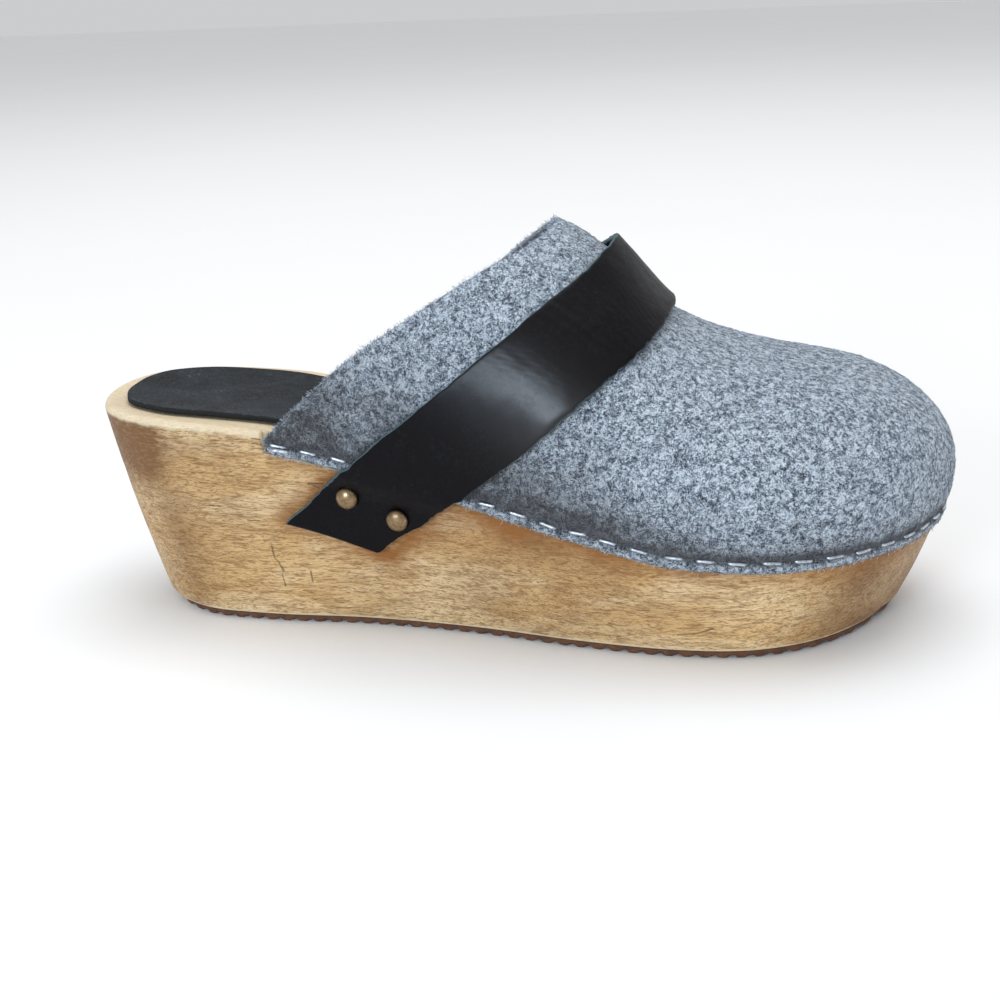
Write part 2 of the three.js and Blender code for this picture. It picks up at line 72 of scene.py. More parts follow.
class Side(Enum):
    """The two sides of the foot."""

    LATERAL = -1
    MEDIAL = 1


# Curves and fields


def smooth_share(at: FloatArray, low: float, high: float) -> FloatArray:
    """Eases from 0 at low to 1 at high: with t the clamped share of the way, t * t * (3 - 2 t).

    Args:
        at: Where the value is wanted.
        low: Where the share is still 0.
        high: Where the share is 1.

    Returns:
        The share, in the shape of at.
    """
    t = np.clip((np.asarray(at, float) - low) / (high - low), 0.0, 1.0)
    return t * t * (3.0 - 2.0 * t)


def monotone(rows: Sequence[Sequence[float]], column: int = 1) -> Curve:
    """A smooth curve through a table's rows that never overshoots a row.

    Each span is a cubic, and its slope at a row is the harmonic mean of the two secants there, or 0 where
    they differ in sign.

    Args:
        rows: The table, with the place in its first column.
        column: The column that holds the values.

    Returns:
        A function from places to values.
    """
    table = np.array(rows, float)
    x, y = table[:, 0], table[:, column]
    span = np.diff(x)
    secant = np.diff(y) / span
    product = secant[:-1] * secant[1:]
    total = secant[:-1] + secant[1:]
    inner = np.where(product > 0, 2 * product / np.where(total == 0, 1, total), 0.0)
    slope = np.concatenate([secant[:1], inner, secant[-1:]])

    def curve(at: FloatArray) -> FloatArray:
        """The table's value at each place.

        Args:
            at: The places, of any shape.

        Returns:
            The values, in the same shape.
        """
        t = np.clip(at, x[0], x[-1])
        i = np.clip(np.searchsorted(x, t, side="right") - 1, 0, len(x) - 2)
        s = (t - x[i]) / span[i]
        rest = 1 - s
        start = y[i] * (1 + 2 * s) + slope[i] * span[i] * s
        end = y[i + 1] * (3 - 2 * s) - slope[i + 1] * span[i] * rest
        return start * rest**2 + end * s**2

    return curve


def through_knots(knots: FloatArray, at: FloatArray) -> FloatArray:
    """Points on smooth curves through knots (centripetal Catmull-Rom).

    Each span is a cubic whose end slopes weigh the chords beside a knot by the square roots of their lengths.

    Args:
        knots: Shape (..., count + 2, axes), with one guide knot before the first and one after the last.
        at: Shape (...), from 0 at the first knot to 1 at the last.

    Returns:
        Points, shape (..., axes).
    """
    count = knots.shape[-2] - 2
    place = np.clip(at, 0, 1) * (count - 1)
    i = np.minimum(place.astype(np.int64), count - 2)
    s = (place - i)[..., None]
    p0, p1, p2, p3 = (
        np.take_along_axis(knots, (i + k)[..., None, None], axis=-2)[..., 0, :] for k in range(4)
    )
    r0, r1, r2 = (
        np.maximum(np.sqrt(np.linalg.norm(b - a, axis=-1, keepdims=True)), 1e-4)
        for a, b in ((p0, p1), (p1, p2), (p2, p3))
    )
    t1 = ((p1 - p0) / r0 - (p2 - p0) / (r0 + r1) + (p2 - p1) / r1) * r1
    t2 = ((p2 - p1) / r1 - (p3 - p1) / (r1 + r2) + (p3 - p2) / r2) * r1
    return p1 + s * (t1 + s * ((-3 * p1 + 3 * p2 - 2 * t1 - t2) + s * (2 * p1 - 2 * p2 + t1 + t2)))


def soft_noise(points: FloatArray, size: float, seed: int) -> FloatArray:
    """Smooth noise from -1 to 1: random numbers on a cubic lattice, blended between its corners.

    Args:
        points: Shape (..., 3), in millimetres.
        size: Width of a lattice cell.
        seed: Which pattern.

    Returns:
        The noise, shape (...).
    """
    scaled = points / size + 1000.0
    cell = np.floor(scaled).astype(np.int64)
    share = scaled - cell
    share = share * share * (3 - 2 * share)
    total = np.zeros(points.shape[:-1])
    for corner in np.ndindex(2, 2, 2):
        at = cell + np.array(corner)
        mixed = at[..., 0] * 73856093 ^ at[..., 1] * 19349663 ^ at[..., 2] * 83492791 ^ seed * 2654435761
        mixed = (mixed ^ (mixed >> 13)) * 1274126177 & 0x7FFFFFFF
        value = (mixed ^ (mixed >> 16)) / 0x7FFFFFFF
        weight = np.prod(np.where(np.array(corner) == 1, share, 1 - share), axis=-1)
        total += weight * value
    return 2 * total - 1


def bell(away: FloatArray, width: FloatArray | float, power: float = 2.0) -> FloatArray:
    """Falls from 1 at 0 on both sides: exp(-|away / width|^power)."""
    return np.exp(-(np.abs(away / width) ** power))


def unit(vectors: FloatArray) -> FloatArray:
    """The vectors at length 1."""
    return vectors / np.linalg.norm(vectors, axis=-1, keepdims=True)


def bevel(distance: FloatArray, radius: float) -> FloatArray:
    """How far a quarter round cuts back at a distance d from an edge: r - sqrt(r^2 - (r - d)^2)."""
    short = radius - np.clip(distance, 0, radius)
    return radius - np.sqrt(np.maximum(radius**2 - short**2, 0))


def segment_distance(points: FloatArray, start: FloatArray, end: FloatArray) -> FloatArray:
    """Distance of each point from a straight segment.

    Args:
        points: Shape (..., 3).
        start: One end.
        end: The other end.

    Returns:
        Distances, shape (...).
    """
    run = end - start
    share = np.clip(((points - start) @ run) / (run @ run), 0, 1)
    return np.linalg.norm(points - start - share[..., None] * run, axis=-1)


# Meshes


def grid_faces(rows: int, width: int, wrap: bool = False) -> IntArray:
    """The four-cornered faces between rows of points, each face turned so that row x column points outwards.

    Args:
        rows: Number of rows.
        width: Points in a row.
        wrap: Whether each row closes on itself.

    Returns:
        Corner numbers, shape (faces, 4).
    """
    r, c = np.meshgrid(np.arange(rows - 1), np.arange(width if wrap else width - 1), indexing="ij")
    nxt = (c + 1) % width
    here, after = r * width, (r + 1) * width
    return np.stack([here + c, here + nxt, after + nxt, after + c], -1).reshape(-1, 4)


@dataclass
class Skin:
    """A surface in millimetres: points, faces of three or four corners, and named values at the points."""

    points: FloatArray
    faces: IntArray
    marks: dict[str, FloatArray] = field(default_factory=dict)

    @classmethod
    def from_grid(
        cls, points: FloatArray, marks: Mapping[str, FloatArray] = {}, wrap: bool = False
    ) -> "Skin":
        """A welded surface from rows of points.

        Args:
            points: Shape (rows, width, 3).
            marks: Named values, each of shape (rows, width) or one that spreads to it.
            wrap: Whether each row closes on itself.

        Returns:
            The surface.
        """
        rows, width = points.shape[:2]
        spread = {name: np.broadcast_to(value, (rows, width)).reshape(-1) for name, value in marks.items()}
        return cls(points.reshape(-1, 3), grid_faces(rows, width, wrap), spread).welded()

    def welded(self) -> "Skin":
        """Makes points that coincide one, and leaves out the faces that this closes up.

        Returns:
            The surface, with its faces' corners numbered anew.
        """
        keys = np.round(self.points / WELD).astype(np.int64)
        _, first, inverse = np.unique(keys, axis=0, return_index=True, return_inverse=True)
        faces = inverse.reshape(-1)[self.faces]
        twins = faces == np.roll(faces, -1, axis=1)
        faces = faces[twins.sum(1) <= 1]
        twins = twins[twins.sum(1) <= 1]
        # a face with one pair of twins keeps its other three corners, and its last corner is repeated
        order = np.argsort(twins, axis=1, kind="stable")
        faces = np.where(
            twins.any(1)[:, None],
            np.take_along_axis(faces, np.sort(order[:, :3], axis=1)[:, [0, 1, 2, 2]], axis=1),
            faces,
        )
        return Skin(self.points[first], faces, {name: value[first] for name, value in self.marks.items()})

    def normals(self) -> FloatArray:
        """Normals at the points.

        Returns:
            The sum of the crossed diagonals of each face at a point, at length 1.
        """
        corners = self.points[self.faces]
        crossed = np.cross(corners[:, 2] - corners[:, 0], corners[:, 3] - corners[:, 1])
        flat = np.cross(corners[:, 1] - corners[:, 0], corners[:, 2] - corners[:, 0])
        crossed = np.where((self.faces[:, 2] == self.faces[:, 3])[:, None], flat, crossed)
        total = np.zeros_like(self.points)
        for corner in range(4):
            np.add.at(total, self.faces[:, corner], crossed)
        return total / np.maximum(np.linalg.norm(total, axis=1, keepdims=True), 1e-12)

    def rim(self) -> IntArray:
        """The edges that only one face has.

        Returns:
            Their two points, each in that face's direction, shape (edges, 2).
        """
        sides = [np.stack([self.faces[:, k], self.faces[:, (k + 1) % 4]], -1) for k in range(4)]
        edges = np.concatenate(sides)
        edges = edges[edges[:, 0] != edges[:, 1]]
        count = len(self.points)
        keys = edges[:, 0] * count + edges[:, 1]
        return edges[~np.isin(keys, edges[:, 1] * count + edges[:, 0])]

    def moved(self, shift: FloatArray) -> "Skin":
        """The surface with its points moved."""
        return Skin(self.points + shift, self.faces, self.marks)

    def walled(self, near: FloatArray, far: FloatArray) -> "Skin":
        """A closed wall between two offsets of the surface, taken along its normals.

        Args:
            near: Offset of the inner face at each point.
            far: Offset of the outer face at each point.

        Returns:
            The wall, with the mark "inner", which is 1 on the inner face.
        """
        normals = self.normals()
        count = len(self.points)
        points = np.concatenate([self.points + normals * far[:, None], self.points + normals * near[:, None]])
        rim = self.rim()
        strip = np.stack([rim[:, 1], rim[:, 0], rim[:, 0] + count, rim[:, 1] + count], -1)
        inner = self.faces[:, [0, 2, 1, 1]] + count
        quads = self.faces[:, 2] != self.faces[:, 3]
        inner[quads] = self.faces[quads][:, ::-1] + count
        marks = {name: np.tile(value, 2) for name, value in self.marks.items()}
        marks["inner"] = np.repeat([0.0, 1.0], count)
        return Skin(points, np.concatenate([self.faces, inner, strip]), marks)


def tubes(paths: FloatArray, radii: FloatArray, sides: int) -> Skin:
    """Round tubes along paths, each closed to a point at its ends where its radius is 0.

    A ring's points lie at path + radius * (cos(a) * side + sin(a) * up), with side across the path and its
    start's up direction.

    Args:
        paths: Shape (tubes, steps, 3).
        radii: Shape (tubes, steps) or one that spreads to it.
        sides: Points in a ring.

    Returns:
        The tubes as one surface, with the mark "tube", a number from 0 to 1 for each tube.
    """
    count, steps = paths.shape[:2]
    run = np.gradient(paths, axis=1)
    run /= np.maximum(np.linalg.norm(run, axis=-1, keepdims=True), 1e-12)
    guide = np.where(np.abs(run[:, :1, 2:]) < 0.9, [0.0, 0.0, 1.0], [1.0, 0.0, 0.0])
    across = np.cross(run, np.broadcast_to(guide, run.shape))
    across /= np.maximum(np.linalg.norm(across, axis=-1, keepdims=True), 1e-12)
    up = np.cross(across, run)
    angle = -np.arange(sides) * 2 * np.pi / sides
    ring = np.cos(angle)[:, None] * across[:, :, None] + np.sin(angle)[:, None] * up[:, :, None]
    thick = np.broadcast_to(radii, (count, steps))
    points = paths[:, :, None] + ring * thick[:, :, None, None]
    faces = grid_faces(steps, sides, wrap=True)
    faces = (faces[None] + (np.arange(count) * steps * sides)[:, None, None]).reshape(-1, 4)
    tone = np.repeat((np.arange(count) * 0.6180339887) % 1.0, steps * sides)
    return Skin(points.reshape(-1, 3), faces, {"tube": tone})


def turned(profile: FloatArray, sides: int) -> FloatArray:
    """Rows of points of a turned form about Z, from radius and height pairs.

    Args:
        profile: Shape (steps, 2).
        sides: Points round the axis.

    Returns:
        Points, shape (steps, sides, 3).
    """
    angle = np.arange(sides) * 2 * np.pi / sides
    radius, height = profile[:, :1], profile[:, 1:]
    return np.stack(
        [radius * np.cos(angle), radius * np.sin(angle), np.broadcast_to(height, (len(profile), sides))], -1
    )


# The form of the shoe

OUTLINE_ROWS = (  # along, lateral, medial
    (0.022, 0.62, 0.585),
    (0.08, 0.925, 0.885),
    (0.18, 1.03, 0.98),
    (0.32, 0.968, 0.877),
    (0.46, 0.95, 0.81),
    (0.6, 1.005, 0.856),
    (0.72, 1.034, 0.972),
    (0.82, 0.996, 0.983),
    (0.904, 0.796, 0.877),
    (0.968, 0.426, 0.602),
)
EDGE_ROWS = ((0, 1), (0.2, 0.911), (0.4, 0.584), (0.6, 0.2), (0.72, 0.02), (0.8, 0), (1, 0))  # along, rise
RIDGE_ROWS = (  # along, roof, fullness
    (0.24, 1.62, 2.05),
    (0.4, 1.33, 2.0),
    (0.556, 1.0, 1.95),
    (0.624, 0.72, 1.95),
    (0.692, 0.33, 2.05),
    (0.76, 0.15, 2.2),
    (0.84, 0.04, 2.3),
    (0.92, 0, 2.35),
    (1, -0.05, 2.35),
)
COLLAR_ROWS = (  # around, lateral, medial
    (0, 0.236, 0.27),
    (0.06, 0.259, 0.293),
    (0.12, 0.284, 0.318),
    (0.26, 0.343, 0.374),
    (0.4, 0.407, 0.432),
    (0.55, 0.469, 0.485),
    (0.75, 0.533, 0.532),
    (0.88, 0.552, 0.549),
    (1, 0.557, 0.557),
)
STRAP_ROWS = (  # climb, rear, front
    (0, 0.239, 0.368),
    (0.0625, 0.282, 0.409),
    (0.125, 0.301, 0.43),
    (0.1875, 0.311, 0.441),
    (0.25, 0.322, 0.453),
    (0.3125, 0.338, 0.47),
    (0.375, 0.378, 0.51),
    (0.4375, 0.418, 0.545),
    (0.5, 0.456, 0.577),
    (0.5625, 0.492, 0.605),
    (0.625, 0.525, 0.629),
    (0.6875, 0.553, 0.648),
    (0.75, 0.576, 0.662),
    (0.8125, 0.593, 0.672),
    (0.875, 0.603, 0.679),
    (0.9375, 0.609, 0.683),
    (1, 0.611, 0.685),
)


@dataclass(frozen=True)
class Columns:
    """Places round the platform's top edge: a point of the middle line, the edge point that it faces, and the
    outward direction there. Each array has a last axis of two."""

    spine: FloatArray
    edge: FloatArray
    out: FloatArray

    @classmethod
    def joined(cls, parts: Sequence["Columns"], axis: int) -> "Columns":
        """Columns of several parts as one.

        Args:
            parts: The parts, in order.
            axis: The axis that they follow one another on.

        Returns:
            The columns.
        """
        names = ("spine", "edge", "out")
        return cls(*(np.concatenate([getattr(part, name) for part in parts], axis) for name in names))

    def tall(self) -> "Columns":
        """The columns with a leading axis of one, to be met with a column of rows."""
        return Columns(self.spine[None], self.edge[None], self.out[None])


@dataclass(frozen=True)
class ClogForm:
    """The sizes of the clog in millimetres, and the surfaces that follow from them."""

    sole_length: float = 250.0
    heel_width: float = 66.0
    ball_width: float = 93.0
    heel_width_end: float = 0.15
    ball_width_start: float = 0.75
    heel_height: float = 65.0
    ball_height: float = 34.5
    ball_along: float = 0.7
    toe_rise: float = 1.0
    toe_rise_along: float = 0.8
    toe_spring: float = 1.6
    heel_rake: float = 13.0
    toe_rake: float = 11.5
    side_rake: float = 5.5
    side_belly: float = 0.9
    edge_round: float = 2.2
    foot_round: float = 1.2
    heel_foot_round: float = 3.0
    footbed_dish: float = 1.6
    heel_spine_inset: float = 30.0
    toe_spine_inset: float = 44.0
    ridge_shift: float = 5.0
    toe_tip_across: float = 0.086
    outsole_thickness: float = 2.4
    felt_thickness: float = 3.4
    band_depth: float = 6.0
    staple_depth: float = 3.0
    staple_squeeze: float = 1.1
    staple_reach: float = 1.0
    squeeze_above: float = 0.8
    rebate_depth: float = 1.9
    rebate_overrun: float = 1.2
    bulge: float = 1.8
    collar_height: float = 114.5
    toe_box_height: float = 73.8
    gap: float = 0.3
    samples: int = 60

    @property
    def band_stand_off(self) -> float:
        """How far the felt band's outer face stands off the wood's side."""
        return self.felt_thickness + self.gap - self.rebate_depth

    def half_width(self, along: FloatArray) -> FloatArray:
        """Half the platform's width, which grows from the heel's to the ball's by an eased share."""
        share = smooth_share(along, self.heel_width_end, self.ball_width_start)
        return (self.heel_width + (self.ball_width - self.heel_width) * share) / 2

    @cached_property
    def outline(self) -> tuple[FloatArray, FloatArray]:
        """The top edge seen from above, as a closed smooth curve through the outline's rows.

        Returns:
            Its points and its outward normals.
        """
        rows = np.array(OUTLINE_ROWS)
        half = self.half_width(rows[:, 0])
        lateral = np.stack([rows[:, 0] * self.sole_length, -rows[:, 1] * half], -1)
        medial = np.stack([rows[:, 0] * self.sole_length, rows[:, 2] * half], -1)[::-1]
        tip = [[self.sole_length, self.toe_tip_across * self.half_width(np.array(1.0))]]
        knots = np.concatenate([[[0.0, 0.0]], lateral, tip, medial])
        count = len(knots)
        ringed = np.concatenate([knots[-1:], knots, knots[:2]])
        at = np.arange(count * self.samples) / (count * self.samples)
        loop = through_knots(np.broadcast_to(ringed, (len(at), *ringed.shape)), at)
        run = np.roll(loop, -1, axis=0) - np.roll(loop, 1, axis=0)
        normal = np.stack([run[:, 1], -run[:, 0]], -1)
        return loop, normal / np.linalg.norm(normal, axis=1, keepdims=True)

    @property
    def heel_spine(self) -> FloatArray:
        """The first point of the middle line."""
        return np.array([self.heel_spine_inset, 0.0])

    @property
    def toe_spine(self) -> FloatArray:
        """The last point of the middle line."""
        return np.array([self.sole_length - self.toe_spine_inset, self.ridge_shift])

    def spine_at(self, x: FloatArray) -> FloatArray:
        """The middle line, which moves over to the instep's ridge by the middle of the shoe.

        Args:
            x: Places along the shoe.

        Returns:
            The line's points there, seen from above.
        """
        middle = (self.heel_spine[0] + self.toe_spine[0]) / 2
        share = smooth_share(x, self.heel_spine[0], middle)
        return np.stack([x, self.heel_spine[1] + (self.toe_spine[1] - self.heel_spine[1]) * share], -1)

    def side_columns(self, x: FloatArray, side: Side) -> Columns:
        """Columns straight across from the middle line, on one side.

        Args:
            x: Places along the shoe, of any shape.
            side: Which side.

        Returns:
            The columns, in the shape of x.
        """
        loop, normal = self.outline
        toe = int(np.argmax(loop[:, 0]))
        part = slice(0, toe + 1) if side is Side.LATERAL else slice(None, toe - 1, -1)
        xs, ys, out = loop[part, 0], loop[part, 1], normal[part]
        edge = np.stack([x, np.interp(x, xs, ys)], -1)
        outwards = np.stack([np.interp(x, xs, out[:, 0]), np.interp(x, xs, out[:, 1])], -1)
        outwards /= np.linalg.norm(outwards, axis=-1, keepdims=True)
        return Columns(self.spine_at(x), edge, outwards)

    def fan_columns(self, spine: FloatArray, first_angle: float, count: int) -> Columns:
        """Columns over a half turn round one end of the middle line, each where its ray crosses the outline.

        Args:
            spine: The end of the middle line.
            first_angle: The angle where the half turn starts.
            count: Steps in the half turn.

        Returns:
            count - 1 columns.
        """
        loop, normal = self.outline
        angle = first_angle + np.pi * np.arange(1, count) / count
        ray = np.stack([np.cos(angle), np.sin(angle)], -1)[:, None]
        here, there = loop - spine, np.roll(loop, -1, axis=0) - spine
        before = ray[..., 0] * here[:, 1] - ray[..., 1] * here[:, 0]
        after = ray[..., 0] * there[:, 1] - ray[..., 1] * there[:, 0]
        hit = ((before <= 0) & (after > 0) & ((ray * here).sum(-1) > 0)).argmax(1)
        line = np.arange(len(angle))
        share = (before[line, hit] / (before[line, hit] - after[line, hit]))[:, None]
        nxt = (hit + 1) % len(loop)
        out = normal[hit] * (1 - share) + normal[nxt] * share
        edge = loop[hit] * (1 - share) + loop[nxt] * share
        return Columns(np.broadcast_to(spine, edge.shape), edge, unit(out))

    def round_toe(self, starts: tuple[FloatArray, FloatArray], shares: FloatArray, fan: int) -> Columns:
        """Columns from the outer side round the toe to the inner side, for several rows at once.

        Args:
            starts: Where each row starts on the lateral and on the medial side, shape (rows,) each.
            shares: The side's stations, from 0 at the start to 1 at the toe's fan.
            fan: Steps of the toe's half turn.

        Returns:
            Columns of shape (rows, 2 * len(shares) + fan - 1).
        """
        end = self.toe_spine[0]
        lateral_x = starts[0][:, None] + (end - starts[0])[:, None] * shares
        medial_x = (starts[1][:, None] + (end - starts[1])[:, None] * shares)[:, ::-1]
        toe = self.fan_columns(self.toe_spine, -QUARTER_TURN, fan)
        rows = len(starts[0])
        parts = [
            self.side_columns(lateral_x, Side.LATERAL),
            Columns(*(np.broadcast_to(a, (rows, *a.shape)) for a in (toe.spine, toe.edge, toe.out))),
            self.side_columns(medial_x, Side.MEDIAL),
        ]
        return Columns.joined(parts, 1)

    def all_round(
        self, heel_fan: int, stations: int, toe_fan: int, extra: FloatArray | None = None
    ) -> Columns:
        """Columns all round the platform, one after another.

        Args:
            heel_fan: Steps of the heel's half turn.
            stations: Steps along each side.
            toe_fan: Steps of the toe's half turn.
            extra: Further places along the two sides.

        Returns:
            The columns, shape (count,).
        """
        x = np.linspace(self.heel_spine[0], self.toe_spine[0], stations + 1)
        x = x if extra is None else np.unique(np.concatenate([x, extra]))
        parts = [
            self.fan_columns(self.heel_spine, QUARTER_TURN, heel_fan),
            self.side_columns(x, Side.LATERAL),
            self.fan_columns(self.toe_spine, -QUARTER_TURN, toe_fan),
            self.side_columns(x[::-1], Side.MEDIAL),
        ]
        return Columns.joined(parts, 0)

    def edge_height(self, x: FloatArray) -> FloatArray:
        """Height of the top edge: from the ball's to the heel's by the table, with the toe's rise added.

        Args:
            x: Places along the shoe.

        Returns:
            The heights.
        """
        along = np.asarray(x) / self.sole_length
        rise = monotone(EDGE_ROWS)(along)
        toe = self.toe_rise * smooth_share(along, self.toe_rise_along, 1)
        return self.ball_height + (self.heel_height - self.ball_height) * rise + toe

    def spring_height(self, x: FloatArray) -> FloatArray:
        """Floor to the ribs: flat up to the ball, then growing with the square of the way to the toe.

        Args:
            x: Places along the shoe.

        Returns:
            The heights.
        """
        ball = self.ball_along * self.sole_length
        share = np.maximum(0, x - ball) / (self.sole_length - self.toe_rake - ball)
        return self.toe_spring * share * share

    def side_point(
        self, columns: Columns, share: FloatArray, outwards: FloatArray | float = 0.0
    ) -> FloatArray:
        """Points of the raked side: the straight way from the top edge to the foot, bowed out by a sine.

        Args:
            columns: Where round the platform.
            share: 0 at the top edge and 1 at the underside.
            outwards: Offset along the column's outward direction.

        Returns:
            Points, in the shape that columns and share spread to, with a last axis of three.
        """
        x, y = columns.edge[..., 0], columns.edge[..., 1]
        length = self.sole_length
        foot_x = self.heel_rake + x / length * (length - self.heel_rake - self.toe_rake)
        inwards = self.side_rake * np.clip(y / (self.heel_width / 4), -1, 1)
        bow = self.side_belly * np.sin(np.pi * share) + outwards
        top = self.edge_height(x)
        foot = self.spring_height(foot_x) + self.outsole_thickness
        return np.stack(
            np.broadcast_arrays(
                x + (foot_x - x) * share + columns.out[..., 0] * bow,
                y - inwards * share + columns.out[..., 1] * bow,
                top + (foot - top) * share,
            ),
            -1,
        )

    def side_height(self, columns: Columns) -> FloatArray:
        """Height of the wood's side from its underside to its top edge."""
        return self.edge_height(columns.edge[..., 0]) - self.side_point(columns, np.array(1.0))[..., 2]

    def side_at_depth(
        self, columns: Columns, depth: FloatArray, outwards: FloatArray | float = 0.0
    ) -> FloatArray:
        """Points of the side at a depth below its top edge."""
        return self.side_point(columns, depth / self.side_height(columns), outwards)

    def footbed_point(self, columns: Columns, reach: FloatArray) -> FloatArray:
        """Points of the footbed, which sinks by dish * (1 - reach^2).

        Args:
            columns: Where round the platform.
            reach: 0 on the middle line and 1 at the rounded edge.

        Returns:
            Points.
        """
        rim = columns.edge - columns.out * self.edge_round
        at = columns.spine + (rim - columns.spine) * np.asarray(reach)[..., None]
        x, y = np.broadcast_arrays(at[..., 0], at[..., 1])
        dish = self.footbed_dish * (1 - np.asarray(reach) ** 2)
        return np.stack([x, y, self.edge_height(x) - dish], -1)

    def underside_point(self, columns: Columns, reach: FloatArray) -> FloatArray:
        """Points of the wood's underside.

        Args:
            columns: Where round the platform.
            reach: 0 on the middle line and 1 at the rounded bottom edge.

        Returns:
            Points.
        """
        foot = self.side_point(columns, np.array(1.0))
        middle = self.side_point(Columns(columns.spine, columns.spine, columns.out), np.array(1.0))
        rounding = self.foot_round_at(columns.edge[..., 0])[..., None]
        rim = foot + (middle - foot) * rounding / np.linalg.norm(foot - middle, axis=-1, keepdims=True)
        at = middle + (rim - middle) * np.asarray(reach)[..., None]
        at[..., 2] = self.spring_height(at[..., 0]) + self.outsole_thickness
        return at

    def foot_round_at(self, x: FloatArray) -> FloatArray:
        """Radius of the bottom edge, which is larger at the back of the heel."""
        share = smooth_share(x, 0, self.heel_spine_inset)
        return self.heel_foot_round + (self.foot_round - self.heel_foot_round) * share

    def collar_starts(
        self, around: FloatArray, set_back: FloatArray | float = 0.0
    ) -> tuple[FloatArray, FloatArray]:
        """Where the felt's cut edge lies along the shoe, on the lateral and on the medial side."""
        lateral = monotone(COLLAR_ROWS, 1)(around) * self.sole_length + set_back
        return lateral, monotone(COLLAR_ROWS, 2)(around) * self.sole_length + set_back

    def arch_point(self, columns: Columns, around: FloatArray) -> FloatArray:
        """Points of the felt's outer face: a superellipse across the foot, swelling out over the staples.

        With p = 2 / fullness, the reach from the ridge is cos(a)^p and the lift sin(a)^p, and the angle a
        starts just below 0, where the reach is less than the swell's.

        Args:
            columns: Where round the platform.
            around: 0 just over the staples and 1 at the ridge.

        Returns:
            Points.
        """
        squeeze = self.staple_squeeze * self.squeeze_above
        depth = np.array(self.staple_depth - self.staple_reach)
        foot = self.side_at_depth(columns, depth, self.band_stand_off - squeeze)
        power = 2 / monotone(RIDGE_ROWS, 2)(columns.edge[..., 0] / self.sole_length)
        away = np.linalg.norm(foot[..., :2] - columns.spine, axis=-1)
        foot_reach = 1 / (1 + self.bulge / away)
        foot_angle = np.arccos(foot_reach ** (1 / power))
        foot_drop = np.sin(foot_angle) ** power
        angle = -foot_angle + (QUARTER_TURN + foot_angle) * around
        reach = np.abs(np.cos(angle)) ** power / foot_reach
        lift = np.sign(angle) * np.abs(np.sin(angle)) ** power
        at = columns.spine + (foot[..., :2] - columns.spine) * reach[..., None]
        share = monotone(RIDGE_ROWS, 1)(at[..., 0] / self.sole_length)
        roof = self.toe_box_height + (self.collar_height - self.toe_box_height) * share
        height = foot[..., 2] + (roof - foot[..., 2]) * (lift + foot_drop) / (1 + foot_drop)
        return np.concatenate([at, height[..., None]], -1)


# Node sheets and the patterns that several finishes share


def rgb(red: int, green: int, blue: int) -> Colour:
    """A colour as the eye reads it made linear: ((c + 0.055) / 1.055)^2.4, or c / 12.92 if dark."""
    parts = [c / 255 for c in (red, green, blue)]
    return (*(c / 12.92 if c <= 0.04045 else ((c + 0.055) / 1.055) ** 2.4 for c in parts), 1.0)


